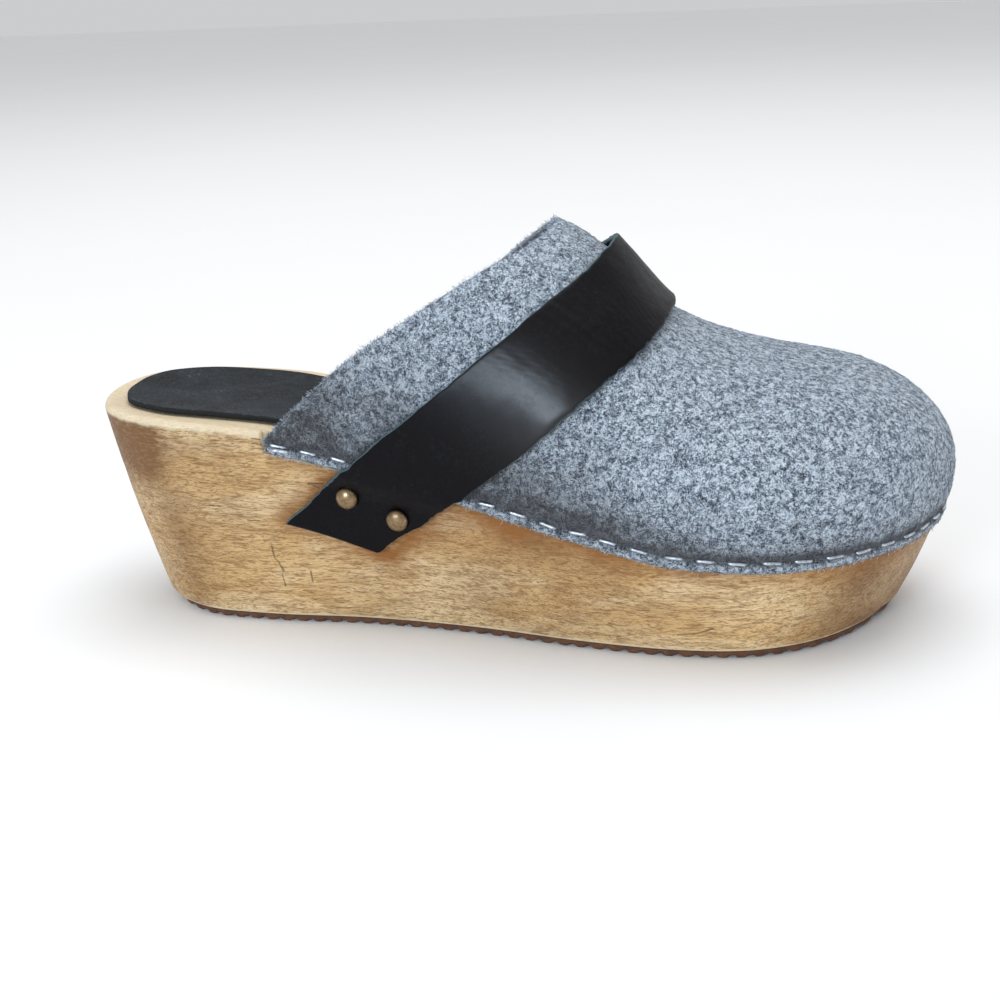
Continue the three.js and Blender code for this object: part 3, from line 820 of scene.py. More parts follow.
class Sheet:
    """A shader's node tree, filled node by node."""

    def __init__(self, tree: bpy.types.NodeTree) -> None:
        """Starts on an empty tree."""
        self.tree = tree
        tree.nodes.clear()

    def add(self, kind: str, values: Mapping[str | int, object] = {}, **settings: object) -> bpy.types.Node:
        """Adds a node. Its settings come first, since a group has no sockets before it has its tree.

        Args:
            kind: Blender's name of the node, without ShaderNode.
            values: What goes into its sockets, by name or number: a value or another node's socket.
            settings: The node's own settings.

        Returns:
            The node.
        """
        node = self.tree.nodes.new(kind if kind.startswith("Node") else f"ShaderNode{kind}")
        for name, value in settings.items():
            setattr(node, name, value)
        for key, value in values.items():
            if isinstance(value, bpy.types.NodeSocket):
                self.tree.links.new(value, node.inputs[key])
            else:
                node.inputs[key].default_value = value
        return node

    @cached_property
    def place(self) -> Socket:
        """Object coordinates in millimetres."""
        metres = self.add("TexCoord").outputs["Object"]
        return self.add("VectorMath", {0: metres, 3: 1 / MM}, operation="SCALE").outputs[0]

    def math(self, operation: str, a: Value, b: Value = 0.0, clamp: bool = False) -> Socket:
        """One sum of two numbers."""
        return self.add("Math", {0: a, 1: b}, operation=operation, use_clamp=clamp).outputs[0]

    def vector(self, operation: str, a: object, b: object = (0.0, 0.0, 0.0)) -> bpy.types.Node:
        """One sum of two vectors, as its node."""
        return self.add("VectorMath", {0: a, 1: b}, operation=operation)

    def noise(self, place: Socket, scale: Value, detail: Value, rough: float, bend: Value = 0.0) -> Socket:
        """Blender's noise, about 0.5."""
        values = {"Vector": place, "Scale": scale, "Detail": detail, "Roughness": rough, "Distortion": bend}
        return self.add("TexNoise", values).outputs[0]

    def ranged(
        self, value: Socket, low: Value, high: Value, out_low: float = 0.0, out_high: float = 1.0
    ) -> Socket:
        """A value eased from one range to another."""
        values = {0: value, 1: low, 2: high, 3: out_low, 4: out_high}
        return self.add("MapRange", values, interpolation_type="SMOOTHSTEP").outputs[0]

    def over(self, base: object, colour: object, mask: Value, share: float = 1.0) -> Socket:
        """A colour laid over another by a share of a mask."""
        cover = mask if share == 1.0 else self.math("MULTIPLY", mask, share)
        return self.add("Mix", {0: cover, 6: base, 7: colour}, data_type="RGBA").outputs[2]

    def varied(self, mark: Value, value: Value, low: float) -> Socket:
        """A mark that a pattern makes uneven: mark * (low + value), from 0 to 1."""
        return self.math("MULTIPLY", mark, self.math("ADD", low, value), clamp=True)

    def ramp(self, value: Socket, stops: Sequence[tuple[float, Colour]]) -> Socket:
        """Colours by value.

        Args:
            value: The value.
            stops: Two or more places with their colours.

        Returns:
            The colour.
        """
        node = self.add("ValToRGB", {0: value})
        elements = node.color_ramp.elements
        for spare in range(len(stops) - 2):
            elements.new(0.5 + 0.01 * spare)
        for element, (place, colour) in zip(elements, stops):
            element.position, element.color = place, colour
        return node.outputs[0]

    def mark(self, name: str) -> Socket:
        """The value of a piece's own mark."""
        return self.add("Attribute", attribute_type="GEOMETRY", attribute_name=name).outputs["Fac"]

    def bump(self, height: Socket, distance: float, strength: float, under: Socket | None = None) -> Socket:
        """A bumped normal.

        Args:
            height: Height pattern.
            distance: Height of a full step, in millimetres.
            strength: How much of it is seen.
            under: A normal to start from.

        Returns:
            The normal.
        """
        values = {"Height": height, "Distance": distance * MM, "Strength": strength}
        return self.add("Bump", values if under is None else {**values, "Normal": under}).outputs[0]

    def shade(self, values: Mapping[str | int, object]) -> None:
        """Ends a material with its shader and output, from what goes into the shader's sockets."""
        self.add("OutputMaterial", {"Surface": self.add("BsdfPrincipled", values).outputs[0]})


def fresh_group(name: str, inputs: Mapping[str, object], outputs: Sequence[str]) -> tuple[Sheet, Sockets]:
    """Starts a shader node group with named inputs and outputs.

    Args:
        name: The group's name.
        inputs: Starting value of each input: three numbers make it a vector, and one a number.
        outputs: Names of the outputs, which are all numbers.

    Returns:
        The group's sheet and the sockets that its inputs come in by.
    """
    tree = bpy.data.node_groups.new(name, "ShaderNodeTree")
    for label, value in inputs.items():
        kind = "NodeSocketVector" if isinstance(value, tuple) else "NodeSocketFloat"
        tree.interface.new_socket(name=label, in_out="INPUT", socket_type=kind).default_value = value
    for label in outputs:
        tree.interface.new_socket(name=label, in_out="OUTPUT", socket_type="NodeSocketFloat")
    sheet = Sheet(tree)
    return sheet, sheet.add("NodeGroupInput").outputs


def fresh_material(name: str) -> tuple[bpy.types.Material, Sheet]:
    """Starts a material.

    Args:
        name: Its name.

    Returns:
        The material and its empty sheet.
    """
    material = bpy.data.materials.new(name)
    material.use_nodes = True
    return material, Sheet(material.node_tree)


class Patterns:
    """The patterns that several finishes use, each built once."""

    def __init__(self) -> None:
        """Builds the groups."""
        self.fleck_group = self._flecks()
        self.thread_group = self._threads()
        self.nick_group = self._nick()
        self.edge_group = self._edge()

    @staticmethod
    def _flecks() -> bpy.types.NodeTree:
        """Stretched noise: its smooth value, and a mask that is 1 where the value is over a threshold.

        Returns:
            The group.
        """
        nothing = (0.0, 0.0, 0.0)
        inputs = {"Place": nothing, "Stretch": nothing, "Detail": 3.0, "Bend": 0.0, "From": 0.5, "To": 0.7}
        sheet, given = fresh_group("stretched_flecks", inputs, ("Mask", "Value"))
        spot = sheet.vector("MULTIPLY", given["Place"], given["Stretch"]).outputs[0]
        noise = sheet.noise(spot, 1.0, given["Detail"], 0.6, given["Bend"])
        mask = sheet.ranged(noise, given["From"], given["To"])
        sheet.add("NodeGroupOutput", {"Mask": mask, "Value": noise})
        return sheet.tree

    @staticmethod
    def _threads() -> bpy.types.NodeTree:
        """Thin curling lines: 1 where warped noise passes its middle value, and |noise - 0.5| is small.

        Returns:
            The group.
        """
        nothing = (0.0, 0.0, 0.0)
        inputs = {"Place": nothing, "Shift": nothing, "Scale": 1.0, "Width": 0.03, "Curl": 1.0}
        sheet, given = fresh_group("curled_threads", inputs, ("Mask",))
        spot = sheet.vector("ADD", given["Place"], given["Shift"]).outputs[0]
        noise = sheet.noise(spot, given["Scale"], 2.0, 0.5, given["Curl"])
        away = sheet.math("ABSOLUTE", sheet.math("SUBTRACT", noise, 0.5))
        sheet.add("NodeGroupOutput", {"Mask": sheet.ranged(away, given["Width"], 0.0)})
        return sheet.tree

    @staticmethod
    def _nick() -> bpy.types.NodeTree:
        """A short straight scratch: 1 on the line from Start to End, fading out over Width.

        Returns:
            The group.
        """
        nothing = (0.0, 0.0, 0.0)
        inputs = {"Place": nothing, "Start": nothing, "End": (1.0, 0.0, 0.0), "Width": 0.5}
        sheet, given = fresh_group("nick", inputs, ("Mask",))
        reach = sheet.vector("SUBTRACT", given["Place"], given["Start"]).outputs[0]
        run = sheet.vector("SUBTRACT", given["End"], given["Start"]).outputs[0]
        top, square = (sheet.vector("DOT_PRODUCT", a, run).outputs["Value"] for a in (reach, run))
        share = sheet.math("DIVIDE", top, square, clamp=True)
        nearest = sheet.add("VectorMath", {0: run, 3: share}, operation="SCALE").outputs[0]
        away = sheet.vector("LENGTH", sheet.vector("SUBTRACT", reach, nearest).outputs[0]).outputs["Value"]
        sheet.add("NodeGroupOutput", {"Mask": sheet.ranged(away, given["Width"], 0.0)})
        return sheet.tree

    @staticmethod
    def _edge() -> bpy.types.NodeTree:
        """An edge's mark broken up by noise: the mark and a share of the noise, over a threshold.

        Returns:
            The group.
        """
        inputs = {"Place": (0.0, 0.0, 0.0), "Edge": 0.0, "Scale": 0.5}
        sheet, given = fresh_group("worn_edge", inputs, ("Mask",))
        noise = sheet.noise(given["Place"], given["Scale"], 4.0, 0.6)
        broken = sheet.math("MULTIPLY", sheet.math("SUBTRACT", noise, 0.5), 0.9)
        mask = sheet.ranged(sheet.math("ADD", given["Edge"], broken), 0.25, 0.75)
        sheet.add("NodeGroupOutput", {"Mask": mask})
        return sheet.tree

    def flecks(
        self, sheet: Sheet, stretch: Triple | float, detail: float, bend: float, low: float, high: float
    ) -> tuple[Socket, Socket]:
        """One layer of flecks.

        Args:
            sheet: The material's sheet.
            stretch: Flecks to a millimetre, along each axis or along all.
            detail: How finely broken they are.
            bend: How far they are warped.
            low: The value where the mask starts.
            high: The value where it is full.

        Returns:
            The mask and the smooth value.
        """
        along = stretch if isinstance(stretch, tuple) else (stretch,) * 3
        values = {"Place": sheet.place, "Stretch": along, "Detail": detail, "Bend": bend}
        values |= {"From": low, "To": high}
        node = sheet.add("Group", values, node_tree=self.fleck_group)
        return node.outputs["Mask"], node.outputs["Value"]

    def threads(self, sheet: Sheet, shift: Triple, scale: float, width: float, curl: float) -> Socket:
        """The mask of one layer of curled threads."""
        values = {"Place": sheet.place, "Shift": shift, "Scale": scale, "Width": width, "Curl": curl}
        return sheet.add("Group", values, node_tree=self.thread_group).outputs["Mask"]

    def worn(self, sheet: Sheet, mark: str, scale: float) -> Socket:
        """The mask of a mark broken up as worn edges are."""
        values = {"Place": sheet.place, "Edge": sheet.mark(mark), "Scale": scale}
        return sheet.add("Group", values, node_tree=self.edge_group).outputs["Mask"]

    def nicks(self, sheet: Sheet, rows: Sequence[tuple[Triple, Triple, float]], shift: FloatArray) -> Socket:
        """The mask of all the scratches.

        Args:
            sheet: The material's sheet.
            rows: Start, end and width of each.
            shift: From the shoe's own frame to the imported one.

        Returns:
            The greatest of their masks.
        """
        cuts = []
        for start, end, width in rows:
            ends = {"Start": tuple(np.array(start) + shift), "End": tuple(np.array(end) + shift)}
            values = {"Place": sheet.place, **ends, "Width": width}
            cuts.append(sheet.add("Group", values, node_tree=self.nick_group).outputs["Mask"])
        return reduce(lambda a, b: sheet.math("MAXIMUM", a, b), cuts)


SCRATCHES = (  # start, end, width
    ((57.5, -31.9, 26.0), (57.8, -31.6, 22.7), 0.45),
    ((57.8, -31.5, 22.3), (58.9, -31.3, 20.7), 0.4),
    ((58.9, -31.4, 21.0), (60.0, -30.9, 17.4), 0.4),
    ((59.5, -30.8, 16.7), (60.0, -30.3, 12.7), 0.4),
    ((68.4, -31.0, 18.0), (68.6, -30.5, 14.3), 0.45),
    ((59.6, -31.2, 19.4), (60.3, -31.0, 18.0), 0.35),
    ((70.8, -33.6, 46.1), (75.4, -33.7, 46.3), 0.5),
    ((72.3, -33.6, 45.5), (74.0, -33.6, 44.9), 0.35),
    ((176.2, -43.9, 8.0), (181.5, -44.2, 8.8), 0.4),
    ((181.5, -44.2, 8.8), (185.9, -44.6, 10.7), 0.45),
    ((51.1, -32.5, 34.1), (54.8, -32.7, 34.0), 0.3),
    ((39.7, -32.1, 38.3), (42.8, -32.3, 38.1), 0.3),
    ((165.2, -44.4, 15.3), (168.5, -44.9, 15.4), 0.3),
    ((56.0, -34.4, 61.0), (59.1, -34.4, 60.7), 0.35),
    ((55.4, -34.3, 59.6), (59.0, -34.3, 59.3), 0.35),
    ((55.3, -34.2, 58.1), (59.1, -34.2, 57.9), 0.35),
    ((55.5, -34.2, 56.7), (59.8, -34.2, 56.3), 0.35),
)


@dataclass(frozen=True)
class WoodFinish:
    """Oiled alder: tan with short brown grain flecks, stained under the felt, worn pale along its edges and
    footbed with painted highlight there too, and given painted shade at the heel and toe ends.
    """

    light: Colour = rgb(240, 211, 164)
    tan: Colour = rgb(222, 183, 126)
    brown: Colour = rgb(146, 106, 60)
    flecks: Colour = rgb(116, 80, 42)
    stain: Colour = rgb(142, 90, 34)
    cream: Colour = rgb(240, 227, 198)
    dark: Colour = rgb(70, 46, 26)
    burnt: Colour = rgb(118, 80, 40)

    def material(self, patterns: Patterns, shift: FloatArray) -> bpy.types.Material:
        """Builds the wood's material.

        Args:
            patterns: The shared patterns.
            shift: From the shoe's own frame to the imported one.

        Returns:
            The material.
        """
        material, sheet = fresh_material("oiled_alder")
        clouds, _ = patterns.flecks(sheet, (0.018, 0.045, 0.05), 4.0, 0.7, 0.4, 0.62)
        bands, _ = patterns.flecks(sheet, (0.035, 0.3, 0.4), 4.0, 1.1, 0.46, 0.64)
        short, streak = patterns.flecks(sheet, (0.17, 0.9, 1.3), 5.0, 0.8, 0.51, 0.6)
        fine, grain = patterns.flecks(sheet, (0.55, 2.2, 3.2), 4.0, 0.4, 0.52, 0.62)
        pores, _ = patterns.flecks(sheet, (0.35, 4.5, 6.0), 1.0, 0.0, 0.6, 0.66)
        cuts = patterns.nicks(sheet, SCRATCHES, shift)
        layers = (
            (self.brown, bands, 0.4),
            (self.brown, short, 0.6),
            (self.flecks, fine, 0.62),
            (self.dark, pores, 0.5),
            # Painted shade: darker brown over the shade mark, on the heel's rear and the toe's front.
            (self.burnt, sheet.varied(sheet.mark("shade"), streak, 0.5), 1.0),
            (self.stain, sheet.varied(sheet.mark("stain"), streak, 0.55), 1.0),
            # Cream along the edges, the foot and the footbed: worn pale, and painted highlight.
            (self.cream, patterns.worn(sheet, "wear", 0.22), 0.62),
            (self.dark, cuts, 0.75),
        )
        base = sheet.over(self.light, self.tan, clouds)
        for colour, mask, share in layers:
            base = sheet.over(base, colour, mask, share)
        height = sheet.math("ADD", grain, sheet.math("MULTIPLY", pores, -0.5))
        height = sheet.math("SUBTRACT", height, cuts)
        normal = sheet.bump(height, 0.16, 0.5, sheet.bump(streak, 0.35, 0.35))
        rough = sheet.ranged(streak, 0.3, 0.75, 0.42, 0.62)
        sheet.shade({"Base Color": base, "Roughness": rough, "Normal": normal, "Specular IOR Level": 0.4})
        return material


@dataclass(frozen=True)
class FeltFinish:
    """Boiled wool in heather grey: pale and dark fibres matted together, browned near its lower edge, with
    painted shade in the staples' groove and on its inner face.
    """

    pale: Colour = rgb(228, 238, 248)
    middle: Colour = rgb(142, 160, 179)
    deep: Colour = rgb(66, 78, 94)
    navy: Colour = rgb(20, 25, 36)
    soil: Colour = rgb(46, 40, 38)
    # Painted shade for the inside of the shoe.
    lining: Colour = rgb(66, 58, 52)
    sheen: Colour = rgb(220, 230, 245)
    thread_width: float = 0.02
    thread_curl: float = 1.7

    def material(self, patterns: Patterns) -> bpy.types.Material:
        """Builds the felt's material.

        Args:
            patterns: The patterns that finishes share.

        Returns:
            The material.
        """
        material, sheet = fresh_material("heather_felt")
        _, clumps = patterns.flecks(sheet, 0.6, 5.0, 0.8, 0.3, 0.72)
        _, grit = patterns.flecks(sheet, 1.9, 3.0, 1.4, 0.34, 0.68)
        value = sheet.math("ADD", sheet.math("MULTIPLY", clumps, 0.42), sheet.math("MULTIPLY", grit, 0.58))
        shape = self.thread_width, self.thread_curl
        dark, light, thin = (
            sheet.math("MULTIPLY", patterns.threads(sheet, at, scale, *shape), strength)
            for at, scale, strength in (
                ((31.0, 2.0, 9.0), 0.85, 0.78),
                ((3.0, 7.0, 1.0), 0.8, 0.85),
                ((17.0, 5.0, 23.0), 1.3, 0.65),
            )
        )
        light = sheet.math("MAXIMUM", light, thin)
        # Brown dirt near the lower edge and painted shade in the staples' groove, both from one mark.
        soiled_and_shaded = sheet.math("MULTIPLY", sheet.mark("soil"), sheet.math("SUBTRACT", 1.4, value), clamp=True)
        tones = ((0.42, self.navy), (0.462, self.deep), (0.5, self.middle), (0.552, self.pale))
        base = sheet.ramp(value, tones)
        base = sheet.over(base, self.navy, dark)
        base = sheet.over(base, self.pale, light)
        base = sheet.over(base, self.soil, sheet.math("MINIMUM", soiled_and_shaded, 0.88))
        # Painted shade on the felt's inner face.
        base = sheet.over(base, self.lining, sheet.mark("inner"), 0.8)
        height = sheet.math("ADD", value, sheet.math("MULTIPLY", light, 0.35))
        sheet.shade(
            {
                "Base Color": base,
                "Roughness": 0.95,
                "Normal": sheet.bump(height, 0.5, 0.8, sheet.bump(clumps, 1.2, 0.4)),
                "Specular IOR Level": 0.15,
                "Sheen Weight": 0.25,
                "Sheen Roughness": 0.6,
                "Sheen Tint": self.sheen,
            }
        )
        return material


@dataclass(frozen=True)
class LeatherFinish:
    """Black leather with a fine pebbled grain, dusty in its grain, and pale where its edge is cut."""

    name: str
    black: Colour
    faded: Colour
    raw: Colour
    sheen: Colour
    dust: float
    smooth: float
    rough: float
    pebbles: float
    relief: float
    gloss: float

    def material(self, patterns: Patterns) -> bpy.types.Material:
        """Builds the leather's material.

        Args:
            patterns: The patterns that finishes share.

        Returns:
            The material.
        """
        material, sheet = fresh_material(self.name)
        cells = {"Vector": sheet.place, "Scale": self.pebbles}
        voronoi = sheet.add("TexVoronoi", cells, feature="DISTANCE_TO_EDGE")
        worn, grain = patterns.flecks(sheet, 0.9, 5.0, 0.4, 0.45, 0.7)
        patches, broad = patterns.flecks(sheet, 0.07, 3.0, 0.5, 0.35, 0.7)
        hairlines = patterns.threads(sheet, (5.0, 1.0, 8.0), 0.35, 0.006, 2.2)
        creases = sheet.math("MULTIPLY", sheet.mark("creased"), hairlines)
        faded = sheet.math("MULTIPLY", worn, sheet.math("MULTIPLY", patches, self.dust))
        faded = sheet.math("MAXIMUM", faded, sheet.math("MULTIPLY", creases, 0.5))
        raw = patterns.worn(sheet, "raw", 1.6)
        rough = sheet.ranged(grain, 0.3, 0.7, self.smooth, self.rough)
        height = sheet.math("ADD", sheet.math("MULTIPLY", voronoi.outputs["Distance"], 1.2), grain)
        height = sheet.math("SUBTRACT", height, sheet.math("MULTIPLY", creases, 1.5))
        unfaded = sheet.math("SUBTRACT", 1.0, faded, clamp=True)
        sheet.shade(
            {
                "Base Color": sheet.over(sheet.over(self.black, self.faded, faded), self.raw, raw),
                "Roughness": sheet.math("ADD", rough, sheet.math("MULTIPLY", raw, 0.35), clamp=True),
                "Normal": sheet.bump(height, self.relief, 0.5, sheet.bump(broad, 1.2, 0.35)),
                "Specular IOR Level": self.gloss,
                "Specular Tint": self.sheen,
                "Coat Weight": sheet.math("MULTIPLY", sheet.mark("polish"), unfaded),
                "Coat Roughness": 0.32,
            }
        )
        return material


@dataclass(frozen=True)
class RubberFinish:
    """Dark brown crepe rubber, dusty where it meets the floor."""

    brown: Colour = rgb(112, 74, 50)
    deep: Colour = rgb(84, 54, 38)
    dust: Colour = rgb(138, 108, 84)

    def material(self, patterns: Patterns) -> bpy.types.Material:
        """Builds the rubber's material.

        Args:
            patterns: The patterns that finishes share.

        Returns:
            The material.
        """
        material, sheet = fresh_material("brown_rubber")
        mottle, value = patterns.flecks(sheet, (0.3, 0.3, 0.5), 4.0, 0.4, 0.35, 0.68)
        grit, height = patterns.flecks(sheet, 2.2, 3.0, 0.0, 0.52, 0.72)
        base = sheet.over(self.deep, self.brown, mottle)
        base = sheet.over(base, self.dust, sheet.varied(grit, sheet.mark("crest"), 0.2), 0.5)
        rough = sheet.ranged(value, 0.3, 0.7, 0.7, 0.88)
        sheet.shade({"Base Color": base, "Roughness": rough, "Normal": sheet.bump(height, 0.2, 0.5)})
        return material


@dataclass(frozen=True)
class MetalFinish:
    """A metal with tarnish in its hollows and fine pits."""

    name: str
    bright: Colour
    tarnish: Colour
    rough: float
    amount: float

    def material(self, patterns: Patterns) -> bpy.types.Material:
        """Builds the metal's material.

        Args:
            patterns: The patterns that finishes share.

        Returns:
            The material.
        """
        material, sheet = fresh_material(self.name)
        spots, value = patterns.flecks(sheet, 0.8, 5.0, 0.3, 0.42, 0.66)
        pits, _ = patterns.flecks(sheet, 3.5, 2.0, 0.0, 0.55, 0.7)
        base = sheet.over(self.bright, self.tarnish, spots, self.amount)
        base = sheet.over(base, self.tarnish, pits, 0.5 * self.amount)
        rough = sheet.ranged(value, 0.3, 0.7, self.rough - 0.08, self.rough + 0.14)
        normal = sheet.bump(value, 0.12, 0.5)
        sheet.shade({"Base Color": base, "Roughness": rough, "Normal": normal, "Metallic": 1.0})
        return material


@dataclass(frozen=True)
class FuzzFinish:
    """Loose wool fibres, each its own shade between pale and dark."""

    pale: Colour = rgb(208, 222, 238)
    dark: Colour = rgb(62, 72, 88)
    soil: Colour = rgb(74, 62, 52)

    def material(self) -> bpy.types.Material:
        """Builds the fibres' material.

        Returns:
            The material.
        """
        material, sheet = fresh_material("loose_wool")
        base = sheet.over(self.dark, self.pale, sheet.ranged(sheet.mark("tube"), 0.1, 0.75))
        # Brown from dirt, and darker from painted shade on fibres in the staples' groove.
        base = sheet.over(base, self.soil, sheet.mark("soil"), 0.7)
        sheet.shade({"Base Color": base, "Roughness": 0.9, "Specular IOR Level": 0.2})
        return material


# The studio


@dataclass(frozen=True)
class Softbox:
    """A square area light, aimed at the shoe."""

    name: str
    place: Triple
    size: float
    watts: float
    colour: Triple
    aim: Triple = (0.0, 0.0, 0.05)

    def build(self) -> None:
        """Hangs the light, turned so that it faces its aim."""
        data = bpy.data.lights.new(self.name, "AREA")
        data.shape, data.size, data.energy, data.color = "SQUARE", self.size, self.watts, self.colour
        light = bpy.data.objects.new(self.name, data)
        bpy.context.scene.collection.objects.link(light)
        away = Matrix.Translation(self.place).translation - Matrix.Translation(self.aim).translation
        turned_to = away.to_track_quat("Z", "Y").to_matrix().to_4x4()
        light.matrix_world = Matrix.Translation(self.place) @ turned_to


@dataclass(frozen=True)
class Studio:
    """A pale floor, soft light and the camera at the photograph's angle.

    The camera looks from its place with the yaw, pitch and roll (radians) of the photograph. Its focal
    length is in pixels of a picture 1000 wide, and its shift is where the optical axis meets that picture.
    """

    place: Triple = (0.06856, -0.40625, 0.17905)
    yaw: float = 0.19243
    pitch: float = 0.34856
    roll: float = -0.04288
    focal: float = 1445.84
    centre: tuple[float, float] = (488.07, 505.61)
    picture: float = 1000.0
    floor_size: float = 14.0

    def camera(self) -> None:
        """Makes the camera: right, up and back are its axes, turned by yaw, pitch and then roll."""
        cy, sy, cp, sp = np.cos(self.yaw), np.sin(self.yaw), np.cos(self.pitch), np.sin(self.pitch)
        right = np.array([cy, sy, 0.0])
        forward = np.array([-sy * cp, cy * cp, -sp])
        up = np.cross(right, forward)
        rolled = right * np.cos(self.roll) + up * np.sin(self.roll)
        upright = -right * np.sin(self.roll) + up * np.cos(self.roll)
        pose = np.eye(4)
        pose[:3, 0], pose[:3, 1], pose[:3, 2], pose[:3, 3] = rolled, upright, -forward, self.place
        data = bpy.data.cameras.new("camera")
        data.sensor_width = 36.0
        data.lens = self.focal / self.picture * data.sensor_width
        data.shift_x = 0.5 - self.centre[0] / self.picture
        data.shift_y = self.centre[1] / self.picture - 0.5
        camera = bpy.data.objects.new("camera", data)
        bpy.context.scene.collection.objects.link(camera)
        camera.matrix_world = Matrix(pose.tolist())
        bpy.context.scene.camera = camera

    def floor(self) -> None:
        """Lays the floor: one large square, pale, with a faint grain."""
        half = self.floor_size / 2
        mesh = bpy.data.meshes.new("floor")
        corners = [(-half, -half, 0.0), (half, -half, 0.0), (half, half, 0.0), (-half, half, 0.0)]
        mesh.from_pydata(corners, [], [(0, 1, 2, 3)])
        floor = bpy.data.objects.new("floor", mesh)
        bpy.context.scene.collection.objects.link(floor)
        material, sheet = fresh_material("pale_floor")
        noise = sheet.noise(sheet.add("TexCoord").outputs["Object"], 3.0, 2.0, 0.5)
        base = sheet.over((0.93, 0.93, 0.93, 1.0), (0.96, 0.96, 0.96, 1.0), noise)
        sheet.shade({"Base Color": base, "Roughness": 0.9, "Specular IOR Level": 0.1})
        mesh.materials.append(material)

    def light(self) -> None:
        """Hangs the softboxes and lights the surroundings evenly."""
        world = bpy.data.worlds.new("surroundings")
        bpy.context.scene.world = world
        world.use_nodes = True
        world.node_tree.nodes["Background"].inputs["Color"].default_value = (0.96, 0.98, 1.0, 1.0)
        world.node_tree.nodes["Background"].inputs["Strength"].default_value = 0.62
        for box in (
            Softbox("overhead", (0.1, 0.3, 2.2), 1.6, 24.0, (1.0, 0.99, 0.98)),
            Softbox("key", (-0.42, -1.21, 0.48), 0.36, 6.8, (0.76, 0.88, 1.0)),
        ):
            box.build()
        bpy.context.scene.view_settings.view_transform = "Standard"

    def build(self) -> None:
        """Builds the whole studio."""
        self.camera()
        self.floor()
        self.light()


# The pieces

STAIN_ROWS = (  # along, strength
    (0.2, 0.5), (0.37, 0.7), (0.43, 1.1), (0.56, 1.05), (0.66, 0.95), (0.8, 0.65), (0.95, 0.8),
)
STAIN_REACH_ROWS = ((0.3, 3.0), (0.42, 7.0), (0.52, 6.0), (0.64, 3.4), (1, 3.0))  # along, millimetres
SOIL_ROWS = (  # along, strength
    (0.2, 1.15), (0.34, 1.2), (0.5, 1.25), (0.62, 1.15), (0.72, 0.95), (0.85, 0.75), (1, 0.7),
)
SOIL_REACH_ROWS = (  # along, share of the way up the felt
    (0.2, 0.42), (0.3, 0.32), (0.42, 0.2), (0.6, 0.16), (0.72, 0.1), (1, 0.07),
)


@dataclass
class Workshop:
    """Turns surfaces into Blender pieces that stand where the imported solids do."""

    form: ClogForm
    patterns: Patterns
    shift: FloatArray

    def piece(
        self, name: str, skin: Skin, material: bpy.types.Material, slot: str, nodes: Sequence[str] = ()
    ) -> None:
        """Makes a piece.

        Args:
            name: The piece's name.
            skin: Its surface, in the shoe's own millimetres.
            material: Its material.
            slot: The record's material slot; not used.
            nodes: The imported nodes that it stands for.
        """
        mesh = bpy.data.meshes.new(name)
        points = (skin.points + self.shift) * MM
        quads = skin.faces[:, 2] != skin.faces[:, 3]
        loops = np.concatenate([skin.faces[quads].reshape(-1), skin.faces[~quads][:, :3].reshape(-1)])
        sizes = np.repeat([4, 3], [quads.sum(), (~quads).sum()])
        starts = np.concatenate([[0], np.cumsum(sizes)[:-1]])
        counts = ((mesh.vertices, points), (mesh.loops, loops), (mesh.polygons, sizes))
        for collection, entries in counts:
            collection.add(len(entries))
        mesh.vertices.foreach_set("co", points.astype(np.float32).reshape(-1))
        mesh.loops.foreach_set("vertex_index", loops.astype(np.int32))
        mesh.polygons.foreach_set("loop_start", starts.astype(np.int32))
        mesh.polygons.foreach_set("use_smooth", np.ones(len(sizes), bool))
        mesh.update(calc_edges=True)
        mesh.validate()
        for label, value in skin.marks.items():
            mark = mesh.attributes.new(label, "FLOAT", "POINT")
            mark.data.foreach_set("value", value.astype(np.float32))
        mesh.materials.append(material)
        made = bpy.data.objects.new(name, mesh)
        bpy.context.scene.collection.objects.link(made)
        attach(made, "root")
        if nodes:
            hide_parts(*nodes)
        LOG.info("%s: %d points, %d triangles", name, len(points), (sizes - 2).sum())


